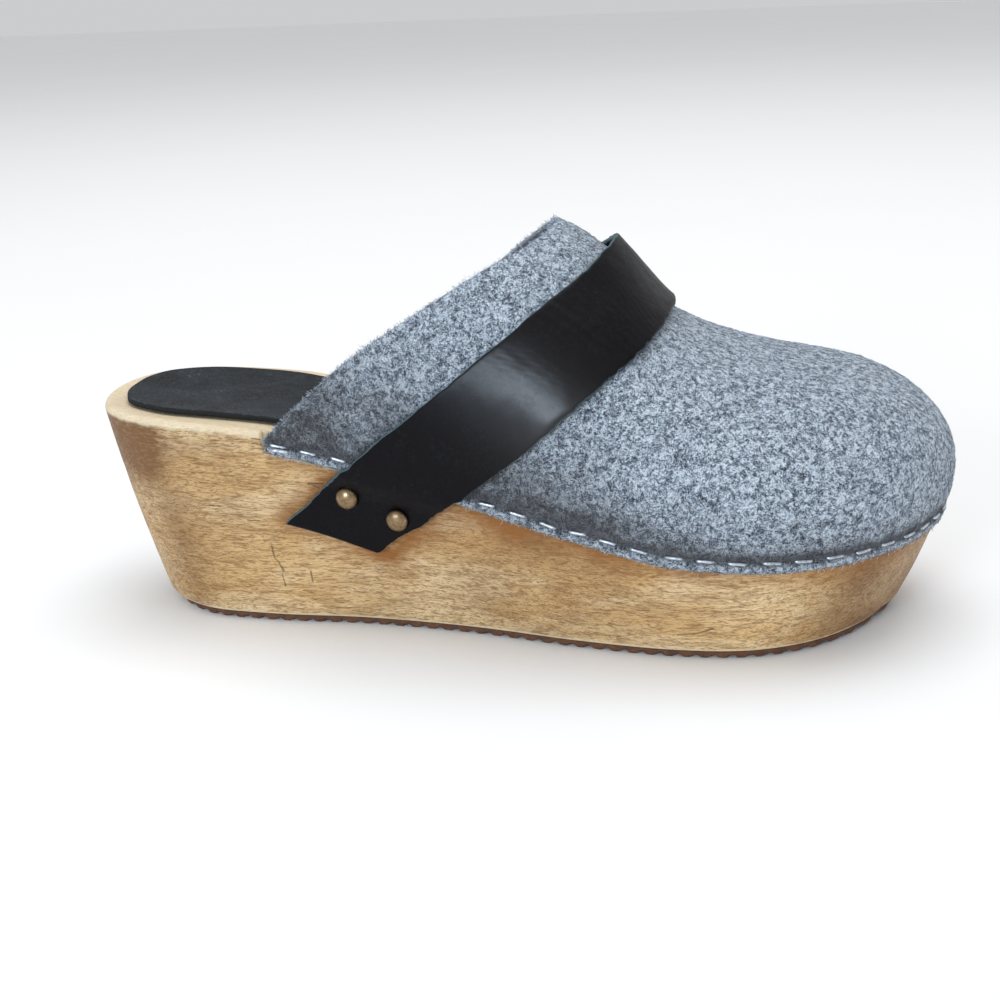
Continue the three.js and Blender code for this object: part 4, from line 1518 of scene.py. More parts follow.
@dataclass
class Platform:
    """The carved wooden platform and the ribbed rubber under it. Lengths are in millimetres."""

    shop: Workshop
    heel_fan: int = 72
    stations: int = 170
    toe_fan: int = 90
    saw_step: float = 0.06
    stain_drop: float = 1.2
    strap_stain: float = 4.2
    edge_wear: float = 2.3
    foot_wear: float = 0.7
    shaded_band: float = 9.0
    rib_pitch: float = 5.0
    rib_depth: float = 0.8
    rib_crest: float = 2.6
    rib_stations: int = 430
    outsole_round: float = 0.5
    outsole_end_round: float = 0.9

    def build(self) -> None:
        """Builds both pieces."""
        wood = WoodFinish().material(self.shop.patterns, self.shop.shift)
        self.shop.piece("wood_platform", self.wood(), wood, "wood", ["wood_sole"])
        rubber = RubberFinish().material(self.shop.patterns)
        self.shop.piece("rubber_outsole", self.rubber(), rubber, "outsole_rubber", ["outsole"])

    def wood(self) -> Skin:
        """The platform as rows round it: underside, rounded foot, side, ledge or rounded edge, and footbed.

        Returns:
            A closed surface with marks for stain, for worn pale edges with painted highlight, and for painted
            shade.
        """
        form = self.shop.form
        starts = np.array(form.collar_starts(np.array(0.0))) - form.rebate_overrun
        step = self.saw_step / 2
        saw = np.concatenate([[start - step, start + step] for start in starts])
        columns = form.all_round(self.heel_fan, self.stations, self.toe_fan, saw)
        x, y = columns.edge[:, 0], columns.edge[:, 1]
        start = np.where(y < 0, starts[0], starts[1])
        height = form.side_height(columns)
        foot_depth = height - form.foot_round_at(x)

        def rounded(a: FloatArray, b: FloatArray, c: FloatArray, steps: int) -> FloatArray:
            """Rows of the quadratic curve from a to c that leans on b."""
            t = np.linspace(0, 1, steps + 1)[:, None, None]
            return a * (1 - t) ** 2 + 2 * b * t * (1 - t) + c * t * t

        tall = columns.tall()
        top = form.footbed_point(columns, np.array(1.0))
        bottom = form.underside_point(tall, np.linspace(0, 1, 13)[:-1, None])
        foot = rounded(
            form.underside_point(columns, np.array(1.0)),
            form.side_point(columns, np.array(1.0)),
            form.side_point(columns, foot_depth / height),
            6,
        )
        low = form.band_depth + form.gap
        side = form.side_at_depth(tall, foot_depth + (low - foot_depth) * np.linspace(0, 1, 42)[1:, None])
        upper = form.side_at_depth(tall, np.linspace(low, form.edge_round, 5)[1:, None])
        edge_start = form.side_at_depth(columns, np.array(form.edge_round))
        edge = rounded(edge_start, form.side_point(columns, np.array(0.0)), top, 8)[1:]
        inwards = np.linspace(0, -form.rebate_depth, 5)[1:, None]
        ledge = form.side_at_depth(tall, np.array([[low]]), inwards)
        wall = ledge[-1:] + (top - ledge[-1:]) * np.linspace(0, 1, 9)[1:, None, None]
        ledged = (x > start)[None, :, None]
        brim = np.where(ledged, np.concatenate([ledge, wall]), np.concatenate([upper, edge]))
        bed_reach = np.concatenate([np.linspace(1, 0.9, 4)[1:], np.linspace(0.9, 0, 12)[1:]])[:, None]
        points = np.concatenate([bottom, foot, side, brim, form.footbed_point(tall, bed_reach)])
        points = self.carved(points, columns, len(bottom) + len(foot), len(side))
        return Skin.from_grid(points, self.wood_marks(points, columns, start), wrap=True)

    def carved(self, points: FloatArray, columns: Columns, first: int, count: int) -> FloatArray:
        """Roughens the side a little, as a spokeshave leaves it, fading out at the felt and the foot.

        Args:
            points: The platform's rows of points.
            columns: Its columns.
            first: The side's first row.
            count: How many rows the side has.

        Returns:
            The points, with noise stretched along the shoe added outwards.
        """
        fade = np.zeros(len(points))
        fade[first : first + count] = np.sin(np.linspace(0, np.pi, count)) ** 0.5
        stretched = points * np.array([0.35, 1.0, 1.0])
        relief = 0.10 * soft_noise(stretched, 7.0, 3) + 0.05 * soft_noise(stretched, 2.5, 5)
        out = np.concatenate([columns.out, np.zeros((len(columns.out), 1))], 1)
        return points + out * (relief * fade[:, None])[..., None]

    def wood_marks(self, points: FloatArray, columns: Columns, start: FloatArray) -> dict[str, FloatArray]:
        """Where the wood is stained, worn pale with painted highlight, and given painted shade: bells of the
        way from felt, strap, edges and foot.

        Args:
            points: The platform's rows of points.
            columns: Its columns.
            start: Where the ledge starts, along the shoe, for each column.

        Returns:
            The marks by name.
        """
        form = self.shop.form
        x, height = points[..., 0], points[..., 2]
        along = columns.edge[:, 0]
        depth = form.edge_height(along) - height
        below = np.maximum(depth - form.band_depth - self.stain_drop, 0)
        reach = monotone(STAIN_REACH_ROWS)(along / form.sole_length)
        patchy = 0.8 + 0.5 * soft_noise(points * np.array([0.6, 1, 1]), 6.0, 11)
        stain = bell(below, reach, 1.3) * monotone(STAIN_ROWS)(along / form.sole_length) * patchy
        stain = np.where((along > start) & (depth > form.band_depth), stain, 0.0)
        knots = Strap(self.shop).end_outline()
        near = np.min([segment_distance(points, a, b) for a, b in zip(knots[:-1], knots[1:])], axis=0)
        stain = np.maximum(stain, 1.05 * bell(near, self.strap_stain, 1.5) * patchy)
        plain = along < start
        # Paler along the top edge, the foot, the footbed and the ledge: partly worn wood, partly painted
        # highlight.
        wear = np.where(plain, bell(np.maximum(depth, 0), self.edge_wear), 0.0)
        foot = height - form.spring_height(x) - form.outsole_thickness
        wear = np.maximum(wear, 0.75 * bell(foot - 0.5, self.foot_wear))
        bed = (height > form.edge_height(x) - form.footbed_dish - 0.4) & (depth > -0.5) & plain
        wear = np.where(bed, np.maximum(wear, 0.5), wear)
        wear = np.where((along > start) & (depth < form.band_depth + form.gap + 0.01), 0.7, wear)
        # Painted shade: darker where the side turns back round the heel and where it turns forward round the
        # toe, and in a band below the top edge near the heel.
        rear = smooth_share(-columns.out[:, 0], -0.12, 0.42) * (0.7 + 0.3 * smooth_share(height, 8, 40))
        front = 0.85 * smooth_share(columns.out[:, 0], 0.2, 0.8)
        blotch = 0.75 + 0.5 * soft_noise(points * np.array([0.7, 0.7, 1]), 12.0, 13)
        shade = 1.1 * np.maximum(rear, front) * blotch * (depth > 1.5)
        shade = shade + 0.35 * bell(depth - self.shaded_band, self.shaded_band) * smooth_share(60 - x, 0, 40)
        marks = {"stain": stain, "wear": wear, "shade": shade}
        return {name: np.clip(value, 0, 1) for name, value in marks.items()}

    def rubber(self) -> Skin:
        """The outsole as rings across it: a flat top, upright sides, and an underside with rounded ribs.

        The underside's height over the ribs is depth * (0.5 - 0.5 cos(pi c))^0.8, with c the clamped share of
        the way from a crest's edge into a groove. Its first and last ring close to an upright line.

        Returns:
            A closed surface with the mark crest, which is 1 on the ribs.
        """
        form = self.shop.form
        rim = form.underside_point(form.all_round(96, 200, 140), np.array(1.0))
        low, high = rim[:, 0].min(), rim[:, 0].max()
        ends = 1.6 * (1 - np.cos(np.linspace(0, QUARTER_TURN, 9)))
        x = np.unique(np.concatenate([np.linspace(low, high, self.rib_stations), low + ends, high - ends]))
        heel, toe = int(np.argmin(rim[:, 0])), int(np.argmax(rim[:, 0]))
        order = np.roll(rim, -heel, axis=0)
        turn = (toe - heel) % len(rim)
        back = np.concatenate([order[turn:], order[:1]])[::-1]
        lateral = np.interp(x, order[: turn + 1, 0], order[: turn + 1, 1])[:, None]
        width = np.interp(x, back[:, 0], back[:, 1])[:, None] - lateral
        from_crest = np.abs((x - low) % self.rib_pitch - self.rib_pitch / 2) - self.rib_crest / 2
        share = np.clip(from_crest / ((self.rib_pitch - self.rib_crest) / 2) + 0.35, 0, 1)
        groove = self.rib_depth * (0.5 - 0.5 * np.cos(np.pi * share)) ** 0.8
        groove = np.maximum(groove, bevel(np.minimum(x - low, high - x), self.outsole_end_round))
        bottom = (form.spring_height(x) + groove)[:, None]
        top = (form.spring_height(x) + form.outsole_thickness - form.gap)[:, None]
        across = np.concatenate([[0.0, 0.004, 0.012], np.linspace(0.03, 0.97, 22), [0.988, 0.996, 1.0]])
        inset = bevel(np.minimum(across, 1 - across) * width, self.outsole_round)

        def rows(shares: FloatArray, heights: FloatArray) -> FloatArray:
            """Points across the outsole at given shares of its width and heights."""
            return np.stack(np.broadcast_arrays(x[:, None], lateral + width * shares, heights), -1)

        under, over = rows(across, bottom + inset), rows(np.linspace(1, 0, 9), top)
        medial_side, lateral_side = (under[:, -1:] + over[:, :1]) / 2, (over[:, -1:] + under[:, :1]) / 2
        rings = np.concatenate([under, medial_side, over, lateral_side], 1)
        rings[0, :, 2] = np.clip(rings[0, :, 2], bottom[0], top[0])
        return Skin.from_grid(rings, {"crest": (1 - share)[:, None]}, wrap=True)


@dataclass(frozen=True)
class Trough:
    """A soft hollow of the felt between two places on it.

    A place is the share along the sole and the share up the felt, from the staples (0) to the ridge (1).
    """

    side: Side
    start: tuple[float, float]
    end: tuple[float, float]
    width: float
    depth: float


@dataclass
class Vamp:
    """The felt upper with its staples and loose fibres. Lengths are in millimetres."""

    shop: Workshop
    stations: int = 128
    toe_fan: int = 72
    arch_rows: int = 84
    pitch: float = 8.85
    staple_length: float = 4.3
    staple_wire: float = 0.55
    staple_bend: float = 0.6
    staple_lift: float = 0.22
    first_staple: float = 4.2
    pucker: float = 0.3
    pinch: float = 0.22
    collar_corner: float = 3.5
    felt_rise: float = 85.0
    cut_round: float = 1.0
    nap_count: int = 7600
    fuzz_count: int = 6200
    troughs: tuple[Trough, ...] = (
        Trough(Side.LATERAL, (0.44, 0.1), (0.6, 0.08), 5.0, 0.9),
        Trough(Side.LATERAL, (0.52, 0.3), (0.64, 0.22), 8.0, 0.5),
        Trough(Side.LATERAL, (0.7, 0.1), (0.86, 0.12), 5.0, 0.35),
        Trough(Side.LATERAL, (0.545, 0.8), (0.556, 0.93), 1.1, 1.0),
        Trough(Side.MEDIAL, (0.46, 0.12), (0.6, 0.1), 5.0, 0.8),
        Trough(Side.MEDIAL, (0.68, 0.25), (0.8, 0.35), 8.0, 0.5),
        Trough(Side.LATERAL, (0.3, 0.1), (0.36, 0.2), 4.0, 0.4),
    )

    def build(self) -> None:
        """Builds the felt, the staples and the fibres."""
        shop = self.shop
        base = self.base()
        felt, fuzz = FeltFinish().material(shop.patterns), FuzzFinish().material()
        steel = MetalFinish("staple_steel", rgb(205, 212, 220), rgb(120, 126, 136), 0.35, 0.6)
        shop.piece("felt_vamp", self.wall(base), felt, "felt", ["felt_upper"])
        shop.piece("edge_staples", self.staples(), steel.material(shop.patterns), "felt")
        shop.piece("wool_nap", self.nap(base, self.nap_count, 7), fuzz, "felt")
        shop.piece("wool_edge_fuzz", self.edge_fuzz(base, self.fuzz_count, 9), fuzz, "felt")

    def side_shares(self) -> FloatArray:
        """The side's stations, close together at the collar's cut edge."""
        close = np.array([0.0, 0.0008, 0.0022, 0.0045, 0.008, 0.0125])
        return np.concatenate([close, np.linspace(0.018, 1, self.stations - len(close))])

    def squeeze(self, depth: FloatArray) -> FloatArray:
        """How deep the felt is drawn in down the band: most at the staples, and rounded at its lower edge.

        Args:
            depth: Depths below the wood's top edge.

        Returns:
            The smooth curve through five given rows, at those depths.
        """
        form = self.shop.form
        rows = (
            (form.staple_depth - form.staple_reach, form.staple_squeeze * form.squeeze_above),
            (form.staple_depth, form.staple_squeeze),
            (form.staple_depth + form.staple_reach, 0.12),
            (form.band_depth - 0.9, 0.0),
            (form.band_depth, 0.25),
        )
        return monotone(rows)(depth)

    def base(self) -> Skin:
        """The felt's outer face: the band over the wood, then the arch up to the ridge.

        Between the staples the felt puckers out by a cosine along the band. The face is pushed along its
        normals by its relief: puckers, noise and troughs.

        Returns:
            The welded surface with its marks.
        """
        form = self.shop.form
        shares = self.side_shares()
        high = form.staple_depth - form.staple_reach
        below = np.concatenate([[0, 0.12, 0.35], np.linspace(0.7, form.band_depth - high, 14)])
        depth = form.band_depth - below
        around = np.concatenate([np.linspace(0, 0.1, 14)[1:], np.linspace(0.1, 1, self.arch_rows - 13)[1:]])
        band_starts = form.collar_starts(np.zeros(len(depth)), bevel(below, self.collar_corner))
        arch_starts = form.collar_starts(around)
        band_columns = form.round_toe(band_starts, shares, self.toe_fan)
        arch_columns = form.round_toe(arch_starts, shares, self.toe_fan)
        wave = np.cos(2 * np.pi * (self.girth() - self.first_staple) / self.pitch)
        squeeze = self.squeeze(depth)[:, None]
        drawn = np.where(squeeze > 0.15, squeeze * (1 + self.pinch * wave) - 0.12, squeeze)
        band = form.side_at_depth(band_columns, depth[:, None], form.band_stand_off - drawn)
        grid = np.concatenate([band, form.arch_point(arch_columns, around[:, None])])
        edge = np.concatenate([band_columns.edge, arch_columns.edge])
        level = np.concatenate([np.zeros(len(depth)), around])[:, None]
        along, lateral = edge[..., 0] / form.sole_length, edge[..., 1] < 0
        starts = [np.concatenate(pair)[:, None] for pair in zip(band_starts, arch_starts)]
        above = form.staple_squeeze * form.squeeze_above * (1 - smooth_share(around, 0, 0.08))
        swell = np.where(level > 0, bell(level, 0.05), 0.0) * -wave * self.pucker
        noise = 0.16 * soft_noise(grid, 3.2, 21) + 0.12 * soft_noise(grid, 9.0, 22)
        marks = {
            "relief": swell + noise - self.hollows(along, level, lateral),
            "near_cut": np.where(lateral, edge[..., 0] - starts[0], edge[..., 0] - starts[1]) * 0.62,
            "low_edge": np.concatenate([below, np.full(len(around), 50.0)])[:, None],
            "squeezed": np.concatenate([squeeze[:, 0], above])[:, None],
            # Brown dirt up from the lower edge, and painted shade in the staples' groove.
            "soil": self.soil(grid, along, level, depth, around),
        }
        skin = Skin.from_grid(grid, marks)
        edge_fade = smooth_share(np.minimum(skin.marks["near_cut"], skin.marks["low_edge"]), 0.0, 1.0)
        return skin.moved(skin.normals() * (skin.marks["relief"] * (0.3 + 0.7 * edge_fade))[:, None])

    def soil(
        self, grid: FloatArray, along: FloatArray, level: FloatArray, depth: FloatArray, around: FloatArray
    ) -> FloatArray:
        """How brown and shaded the felt is: brown dirt that falls off up the felt by a bell, and painted
        shade, the most of all, in the staples' groove.

        Args:
            grid: The felt's points.
            along: Share along the sole at each point.
            level: Share up the felt at each row, as a column.
            depth: Depths of the band's rows.
            around: Shares up the felt of the arch's rows.

        Returns:
            The brown dirt and painted shade together, from 0 to 1.2.
        """
        patchy = 0.85 + 0.25 * soft_noise(grid, 6.0, 23) + 0.15 * soft_noise(grid, 1.7, 24)
        soil = monotone(SOIL_ROWS)(along) * bell(level, monotone(SOIL_REACH_ROWS)(along), 1.3) * patchy
        # Painted shade in the staples' groove, on the band's rows and the lowest rows of the arch.
        groove = np.concatenate([bell(depth - self.shop.form.staple_depth + 0.7, 1.5), bell(around, 0.045)])
        return np.clip(np.maximum(soil * np.where(level > 0, 1, 0.3), 1.1 * groove[:, None]), 0, 1.2)

    def hollows(self, along: FloatArray, level: FloatArray, lateral: NDArray[np.bool_]) -> FloatArray:
        """The depth of the listed troughs: each is depth * exp(-(distance / width)^2) from its line.

        Args:
            along: Share along the sole at each point.
            level: Share up the felt at each row, as a column.
            lateral: Whether a point is on the lateral side.

        Returns:
            How deep the felt lies there.
        """
        scale = np.array([self.shop.form.sole_length, self.felt_rise, 1.0])
        plan = np.stack(np.broadcast_arrays(along, level, 0.0), -1) * scale
        total = np.zeros(along.shape)
        for trough in self.troughs:
            start, end = (np.array([*place, 0.0]) * scale for place in (trough.start, trough.end))
            here = lateral if trough.side is Side.LATERAL else ~lateral
            total += here * trough.depth * bell(segment_distance(plan, start, end), trough.width)
        return total

    def staple_columns(self) -> Columns:
        """The columns of the staples' line, from the lateral end round the toe to the medial end."""
        starts = self.shop.form.collar_starts(np.zeros(1))
        return self.shop.form.round_toe(starts, self.side_shares(), self.toe_fan)

    def girth(self) -> FloatArray:
        """The way along the staples from the lateral end to each column.

        Returns:
            The running sum of the straight steps between columns.
        """
        form = self.shop.form
        depth = np.array([[form.staple_depth]])
        line = form.side_at_depth(self.staple_columns(), depth, form.band_stand_off)[0]
        return np.concatenate([[0.0], np.cumsum(np.linalg.norm(np.diff(line, axis=0), axis=1))])

    def wall(self, base: Skin) -> Skin:
        """The felt's whole wall: the outer face, and an inner face one thickness in, with softened cut edges.

        Args:
            base: The outer face.

        Returns:
            The closed wall.
        """
        edge = np.minimum(base.marks["near_cut"], base.marks["low_edge"])
        cut_back = bevel(edge, self.cut_round)
        frayed = 0.12 * soft_noise(base.points, 1.3, 31) * (1 - smooth_share(edge, 0, 1.2))
        inner = base.marks["squeezed"] - self.shop.form.felt_thickness - base.marks["relief"] * 0.6
        return base.walled(np.minimum(inner + 0.5 * cut_back, -0.8), frayed - 0.75 * cut_back)

    def staples(self) -> Skin:
        """The staples: each a wire bent down at both ends, lying in the groove along the band.

        They stand a pitch apart, with a little play. A second one lies just below the first. A wire's path is
        straight, with a quarter round at each end and a short leg into the felt.

        Returns:
            The wires as one surface, each closed to a point at its ends.
        """
        form = self.shop.form
        girth = self.girth()
        count = int((girth[-1] - 2 * self.first_staple) // self.pitch) + 1
        rng = np.random.default_rng(5)
        middle = self.first_staple + self.pitch * np.arange(count) + rng.normal(0, 0.25, count)
        middle = np.append(middle, self.first_staple + 0.4)
        depth = form.staple_depth + np.append(rng.normal(0, 0.12, count), 0.95)
        tilt = np.append(rng.normal(0, 0.05, count), 0.06)
        stand_off = form.band_stand_off - self.squeeze(depth) + self.staple_lift
        here, there = (self.place_on(girth, middle + way) for way in (0.0, 1.0))
        centre = form.side_at_depth(here, depth, stand_off)
        run = unit(form.side_at_depth(there, depth, stand_off) - centre)
        out = np.concatenate([here.out, np.zeros((len(middle), 1))], 1)
        up = np.cross(run, out)
        up *= np.sign(up[:, 2:3])
        run = run + up * tilt[:, None]
        half, bend = self.staple_length / 2, self.staple_bend
        turn = np.linspace(QUARTER_TURN, 0, 5)
        quarter = np.stack([bend * (1 - np.sin(turn)) - half, bend * (np.cos(turn) - 1)], -1)
        leg = np.concatenate([[(-half, -2.1), (-half, -1.9)], quarter])
        profile = np.concatenate([leg, leg[::-1] * [-1, 1]])
        paths = centre[:, None] + run[:, None] * profile[:, :1] + out[:, None] * profile[:, 1:]
        wire = np.full(len(profile), self.staple_wire)
        wire[[0, -1]] = 0.0
        return tubes(paths, wire, 8).welded()

    def place_on(self, girth: FloatArray, at: FloatArray) -> Columns:
        """Columns at given ways along the staples, between the ones that are there.

        Args:
            girth: The way to each column that is there.
            at: The ways.

        Returns:
            The columns.
        """
        columns = self.staple_columns()
        spine, edge, out = (
            np.stack([np.interp(at, girth, values[0, :, axis]) for axis in range(2)], -1)
            for values in (columns.spine, columns.edge, columns.out)
        )
        return Columns(spine, edge, unit(out))

    def fibres(
        self,
        roots: FloatArray,
        run: FloatArray,
        lift: FloatArray,
        length: FloatArray,
        soil: FloatArray,
        seed: int,
    ) -> Skin:
        """Loose fibres: each starts at its root, leans one way, and curls by two sines as it goes.

        Args:
            roots: Where each fibre starts, shape (fibres, 3).
            run: Which way it runs, shape (fibres, 3).
            lift: Which way it stands off the felt, shape (fibres, 3).
            length: Its length in millimetres.
            soil: How brown it is, from dirt and from painted shade.
            seed: Which curls.

        Returns:
            The fibres as one surface.
        """
        rng = np.random.default_rng(seed)
        single = (len(roots), 1, 1)
        profile = np.array([0.0, 1.0, 1.0, 0.9, 0.7, 0.0])
        t = np.linspace(0, 1, len(profile))[None, :, None]
        long = length[:, None, None]
        phase = rng.uniform(0, 2 * np.pi, single)
        swing = rng.uniform(0.1, 0.32, single) * long
        hump = rng.uniform(0.03, 0.13, single) * long
        paths = (
            roots[:, None]
            + run[:, None] * long * t
            + np.cross(run, lift)[:, None] * swing * (np.sin(3.5 * t + phase) - np.sin(phase))
            + lift[:, None] * hump * np.sin(np.pi * t * rng.uniform(0.5, 1.0, single))
        )
        skin = tubes(paths, profile * rng.uniform(0.045, 0.085, single[:2]), 3)
        skin.marks["soil"] = np.repeat(soil, len(profile) * 3)
        return skin.welded()

    def nap(self, base: Skin, count: int, seed: int) -> Skin:
        """Fibres that lie on the felt's face, at points picked evenly over its faces by area.

        Args:
            base: The felt's outer face.
            count: How many fibres.
            seed: Which points.

        Returns:
            The fibres as one surface.
        """
        rng = np.random.default_rng(seed)
        corners = base.points[base.faces]
        area = np.linalg.norm(np.cross(corners[:, 2] - corners[:, 0], corners[:, 3] - corners[:, 1]), axis=1)
        pick = rng.choice(len(base.faces), count, p=area / area.sum())
        weights = rng.dirichlet(np.ones(4), count)[..., None]
        normals = unit((base.normals()[base.faces[pick]] * weights).sum(1))
        roots = (corners[pick] * weights).sum(1) - normals * 0.05
        run = unit(np.cross(normals, rng.normal(size=(count, 3))))
        soil = base.marks["soil"][base.faces[pick, 0]]
        return self.fibres(roots, run, normals, rng.uniform(0.9, 2.4, count), soil, seed + 1)

    def edge_fuzz(self, base: Skin, count: int, seed: int) -> Skin:
        """Fibres that stand off the felt's cut edges, at points picked along its rim.

        Args:
            base: The felt's outer face.
            count: How many fibres.
            seed: Which points.

        Returns:
            The fibres as one surface.
        """
        rng = np.random.default_rng(seed)
        rim = base.rim()
        ends = base.points[rim]
        length = np.linalg.norm(ends[:, 1] - ends[:, 0], axis=1)
        pick = rng.choice(len(rim), count, p=length / length.sum())
        share = rng.uniform(0, 1, (count, 1))
        inward = base.normals()[rim[pick, 0]]
        along = unit(ends[pick, 1] - ends[pick, 0])
        outwards = np.cross(along, inward)
        level = rng.uniform(0.0, 0.9, (count, 1)) * self.shop.form.felt_thickness
        roots = ends[pick, 0] * (1 - share) + ends[pick, 1] * share - inward * level - outwards * 0.25
        run = outwards * rng.uniform(0.25, 1.0, (count, 1)) + along * rng.normal(0, 0.8, (count, 1))
        run = unit(run + inward * rng.normal(0, 0.35, (count, 1)))
        soil = base.marks["soil"][rim[pick, 0]] * 0.6
        return self.fibres(roots, run, inward, rng.uniform(0.5, 1.4, count), soil, seed + 1)


@dataclass
class Strap:
    """The leather strap over the instep and the nails that hold its ends. Lengths are in millimetres."""

    shop: Workshop
    thickness: float = 2.4
    end_depth: float = 26.8
    end_slant: float = 2.4
    lift: float = 2.6
    lift_start: float = 0.7
    length: float = 330.0
    knots: int = 11
    steps: int = 330
    lanes: int = 44
    edge_round: float = 0.65
    raw_edge: float = 0.28
    corner_clip: float = 0.012
    polish_climb: float = 0.545
    polish_width: float = 0.09
    head_radius: float = 3.3
    head_height: float = 1.9
    head_sink: float = 0.25
    dent_depth: float = 0.45
    dent_radius: float = 4.6
    shank_radius: float = 0.9
    shank_in_wood: float = 8.0
    nail_rows: tuple[tuple[str, float, float], ...] = (("rear", 0.327, 13.4), ("front", 0.386, 15.8))
    step_rows: tuple[tuple[float, float], ...] = ((3.0, 0.05), (1.5, 0.5), (0.0, 1.0))
    fold_rows: tuple[tuple[float, float, float, float], ...] = (  # place, spread, rate, lean
        (0.352, 0.035, 90.0, 0.4),
        (0.405, 0.03, 120.0, 0.9),
        (0.62, 0.04, 95.0, 0.2),
        (0.3, 0.02, 140.0, 0.6),
    )

    def build(self) -> None:
        """Builds the strap and its four nails."""
        patterns = self.shop.patterns
        leather = LeatherFinish(
            name="strap_leather",
            black=rgb(15, 10, 9),
            faded=rgb(40, 44, 50),
            raw=rgb(84, 104, 110),
            sheen=rgb(205, 225, 255),
            dust=0.35,
            smooth=0.3,
            rough=0.44,
            pebbles=1.5,
            relief=0.09,
            gloss=0.1,
        ).material(patterns)
        self.shop.piece("leather_strap", self.leather(), leather, "strap_leather", ["strap"])
        brass = MetalFinish("antique_brass", rgb(150, 128, 98), rgb(84, 62, 42), 0.33, 0.5).material(patterns)
        for side in Side:
            for name, along, depth in self.nail_rows:
                label = f"{side.name.lower()}_{name}"
                skin = self.nail(side, along, depth)
                self.shop.piece(f"brass_nail_{label}", skin, brass, "antique_brass", [f"strap_nail_{label}"])

    def strap_knots(self, x: FloatArray, side: Side) -> FloatArray:
        """The knots of the strap's inner face on one side, in the planes at x, from its end to the ridge.

        Args:
            x: Places along the shoe, of any shape.
            side: Which side.

        Returns:
            Knots, shape (..., knots, 3).
        """
        form = self.shop.form
        columns = form.side_columns(x, side)
        off = form.band_stand_off
        end = self.end_depth + self.end_slant * np.clip((x / form.sole_length - 0.24) / 0.13, 0, 1)
        rows = [(end, 0.0), ((end + form.band_depth) / 2, 0.0)]
        rows += [(form.band_depth + below * off, over * off) for below, over in self.step_rows]
        rows += [(form.staple_depth, off + form.staple_squeeze / 4)]
        low = [form.side_at_depth(columns, np.asarray(depth), out) for depth, out in rows]
        high = [form.arch_point(columns, np.array(a)) for a in np.linspace(0, 1, self.knots + 1)[1:]]
        return np.stack(low + high, -2)

    def path_points(self, x: FloatArray, at: FloatArray) -> FloatArray:
        """Points of the strap's inner face.

        Args:
            x: The planes that they lie in, along the shoe.
            at: The way along the strap, from the lateral end (0) to the medial end (1).

        Returns:
            Points on the smooth curves through the knots.
        """
        medial = self.strap_knots(x, Side.MEDIAL)[..., ::-1, :]
        whole = np.concatenate([self.strap_knots(x, Side.LATERAL), medial[..., 1:, :]], -2)
        first = 2 * whole[..., :1, :] - whole[..., 1:2, :]
        last = 2 * whole[..., -1:, :] - whole[..., -2:-1, :]
        return through_knots(np.concatenate([first, whole, last], -2), at)

    def edges(self, climb: FloatArray) -> tuple[FloatArray, FloatArray]:
        """Where the strap's rear and front edges lie along the shoe.

        Args:
            climb: From the strap's end (0) to the ridge (1).

        Returns:
            The rear edge's places and the front edge's.
        """
        rows = [*STRAP_ROWS, *((2 - row[0], *row[1:]) for row in STRAP_ROWS[-2::-1])]
        length = self.shop.form.sole_length
        return monotone(rows, 1)(climb) * length, monotone(rows, 2)(climb) * length

    def end_outline(self) -> FloatArray:
        """The strap's lateral end on the wood.

        Returns:
            Points from its rear edge round its end to its front edge.
        """
        climb = np.linspace(0, 0.24, 12)
        rear, front = self.edges(climb)
        down = self.path_points(rear[::-1], climb[::-1] / 2)
        return np.concatenate([down, self.path_points(front, climb / 2)])

    def leather(self) -> Skin:
        """The strap as rows across it, from the lateral end to the medial one.

        It stands off the felt by lift * (1 - lane)^2 near the ridge. Its outer face has soft noise, folds
        and a dent round each nail, and its edges are quarter rounds.

        Returns:
            A closed wall with the marks raw, creased and polish.
        """
        form = self.shop.form
        ends = 0.5 * (1 - np.cos(np.linspace(0, QUARTER_TURN, 7))) * 0.02
        at = np.unique(np.concatenate([ends, np.linspace(0.01, 0.99, self.steps), 1 - ends]))
        close = np.array([0, 0.004, 0.011, 0.02, 0.034])
        inner_lanes = np.linspace(0.055, 0.945, self.lanes - 2 * len(close))
        lane = np.concatenate([close, inner_lanes, 1 - close[::-1]])
        climb = 1 - np.abs(2 * at - 1)
        tall = climb[:, None]
        rear, front = self.edges(climb)
        way = at[:, None] * [300, 0, 0]
        rear = rear + 0.2 * soft_noise(way, 2.6, 41)
        front_worn = front + 0.24 * soft_noise(way, 2.2, 42)
        x = rear[:, None] + (front_worn - rear)[:, None] * lane
        clip = self.corner_clip * np.clip((lane - 0.86) / 0.14, 0, 1) ** 1.5
        near_ends = smooth_share(0.05 - at, 0, 0.05) - smooth_share(at - 0.95, 0, 0.05)
        points = self.path_points(x, at[:, None] + near_ends[:, None] * clip)
        width = (front - self.edges(climb)[0])[:, None] * 0.8
        from_end = np.minimum(at, 1 - at)[:, None] * self.length
        edge = np.minimum(np.minimum(lane, 1 - lane) * width, from_end)
        relief = 0.14 * soft_noise(points, 11.0, 43) + 0.05 * soft_noise(points, 3.0, 44)
        relief = relief - self.folds(at, lane)
        for side in Side:
            for _, along, depth in self.nail_rows:
                away = np.linalg.norm(points - self.nail_place(side, along, depth)[0], axis=-1)
                relief = relief - self.dent_depth * bell(away, self.dent_radius, 4)
        polish = bell(tall - self.polish_climb + 0.06 * (lane - 0.5), self.polish_width)
        marks = {
            "edge": edge,
            "lift": self.lift * smooth_share(tall, self.lift_start, 1) * (1 - lane) ** 2,
            "relief": relief,
            "raw": np.where(lane < 0.5, 1.0, 0.55) * bell(edge, self.raw_edge),
            "creased": smooth_share(tall, 0.45, 0.75),
            "polish": 0.04 + 0.85 * polish * (0.5 + 0.5 * lane),
        }
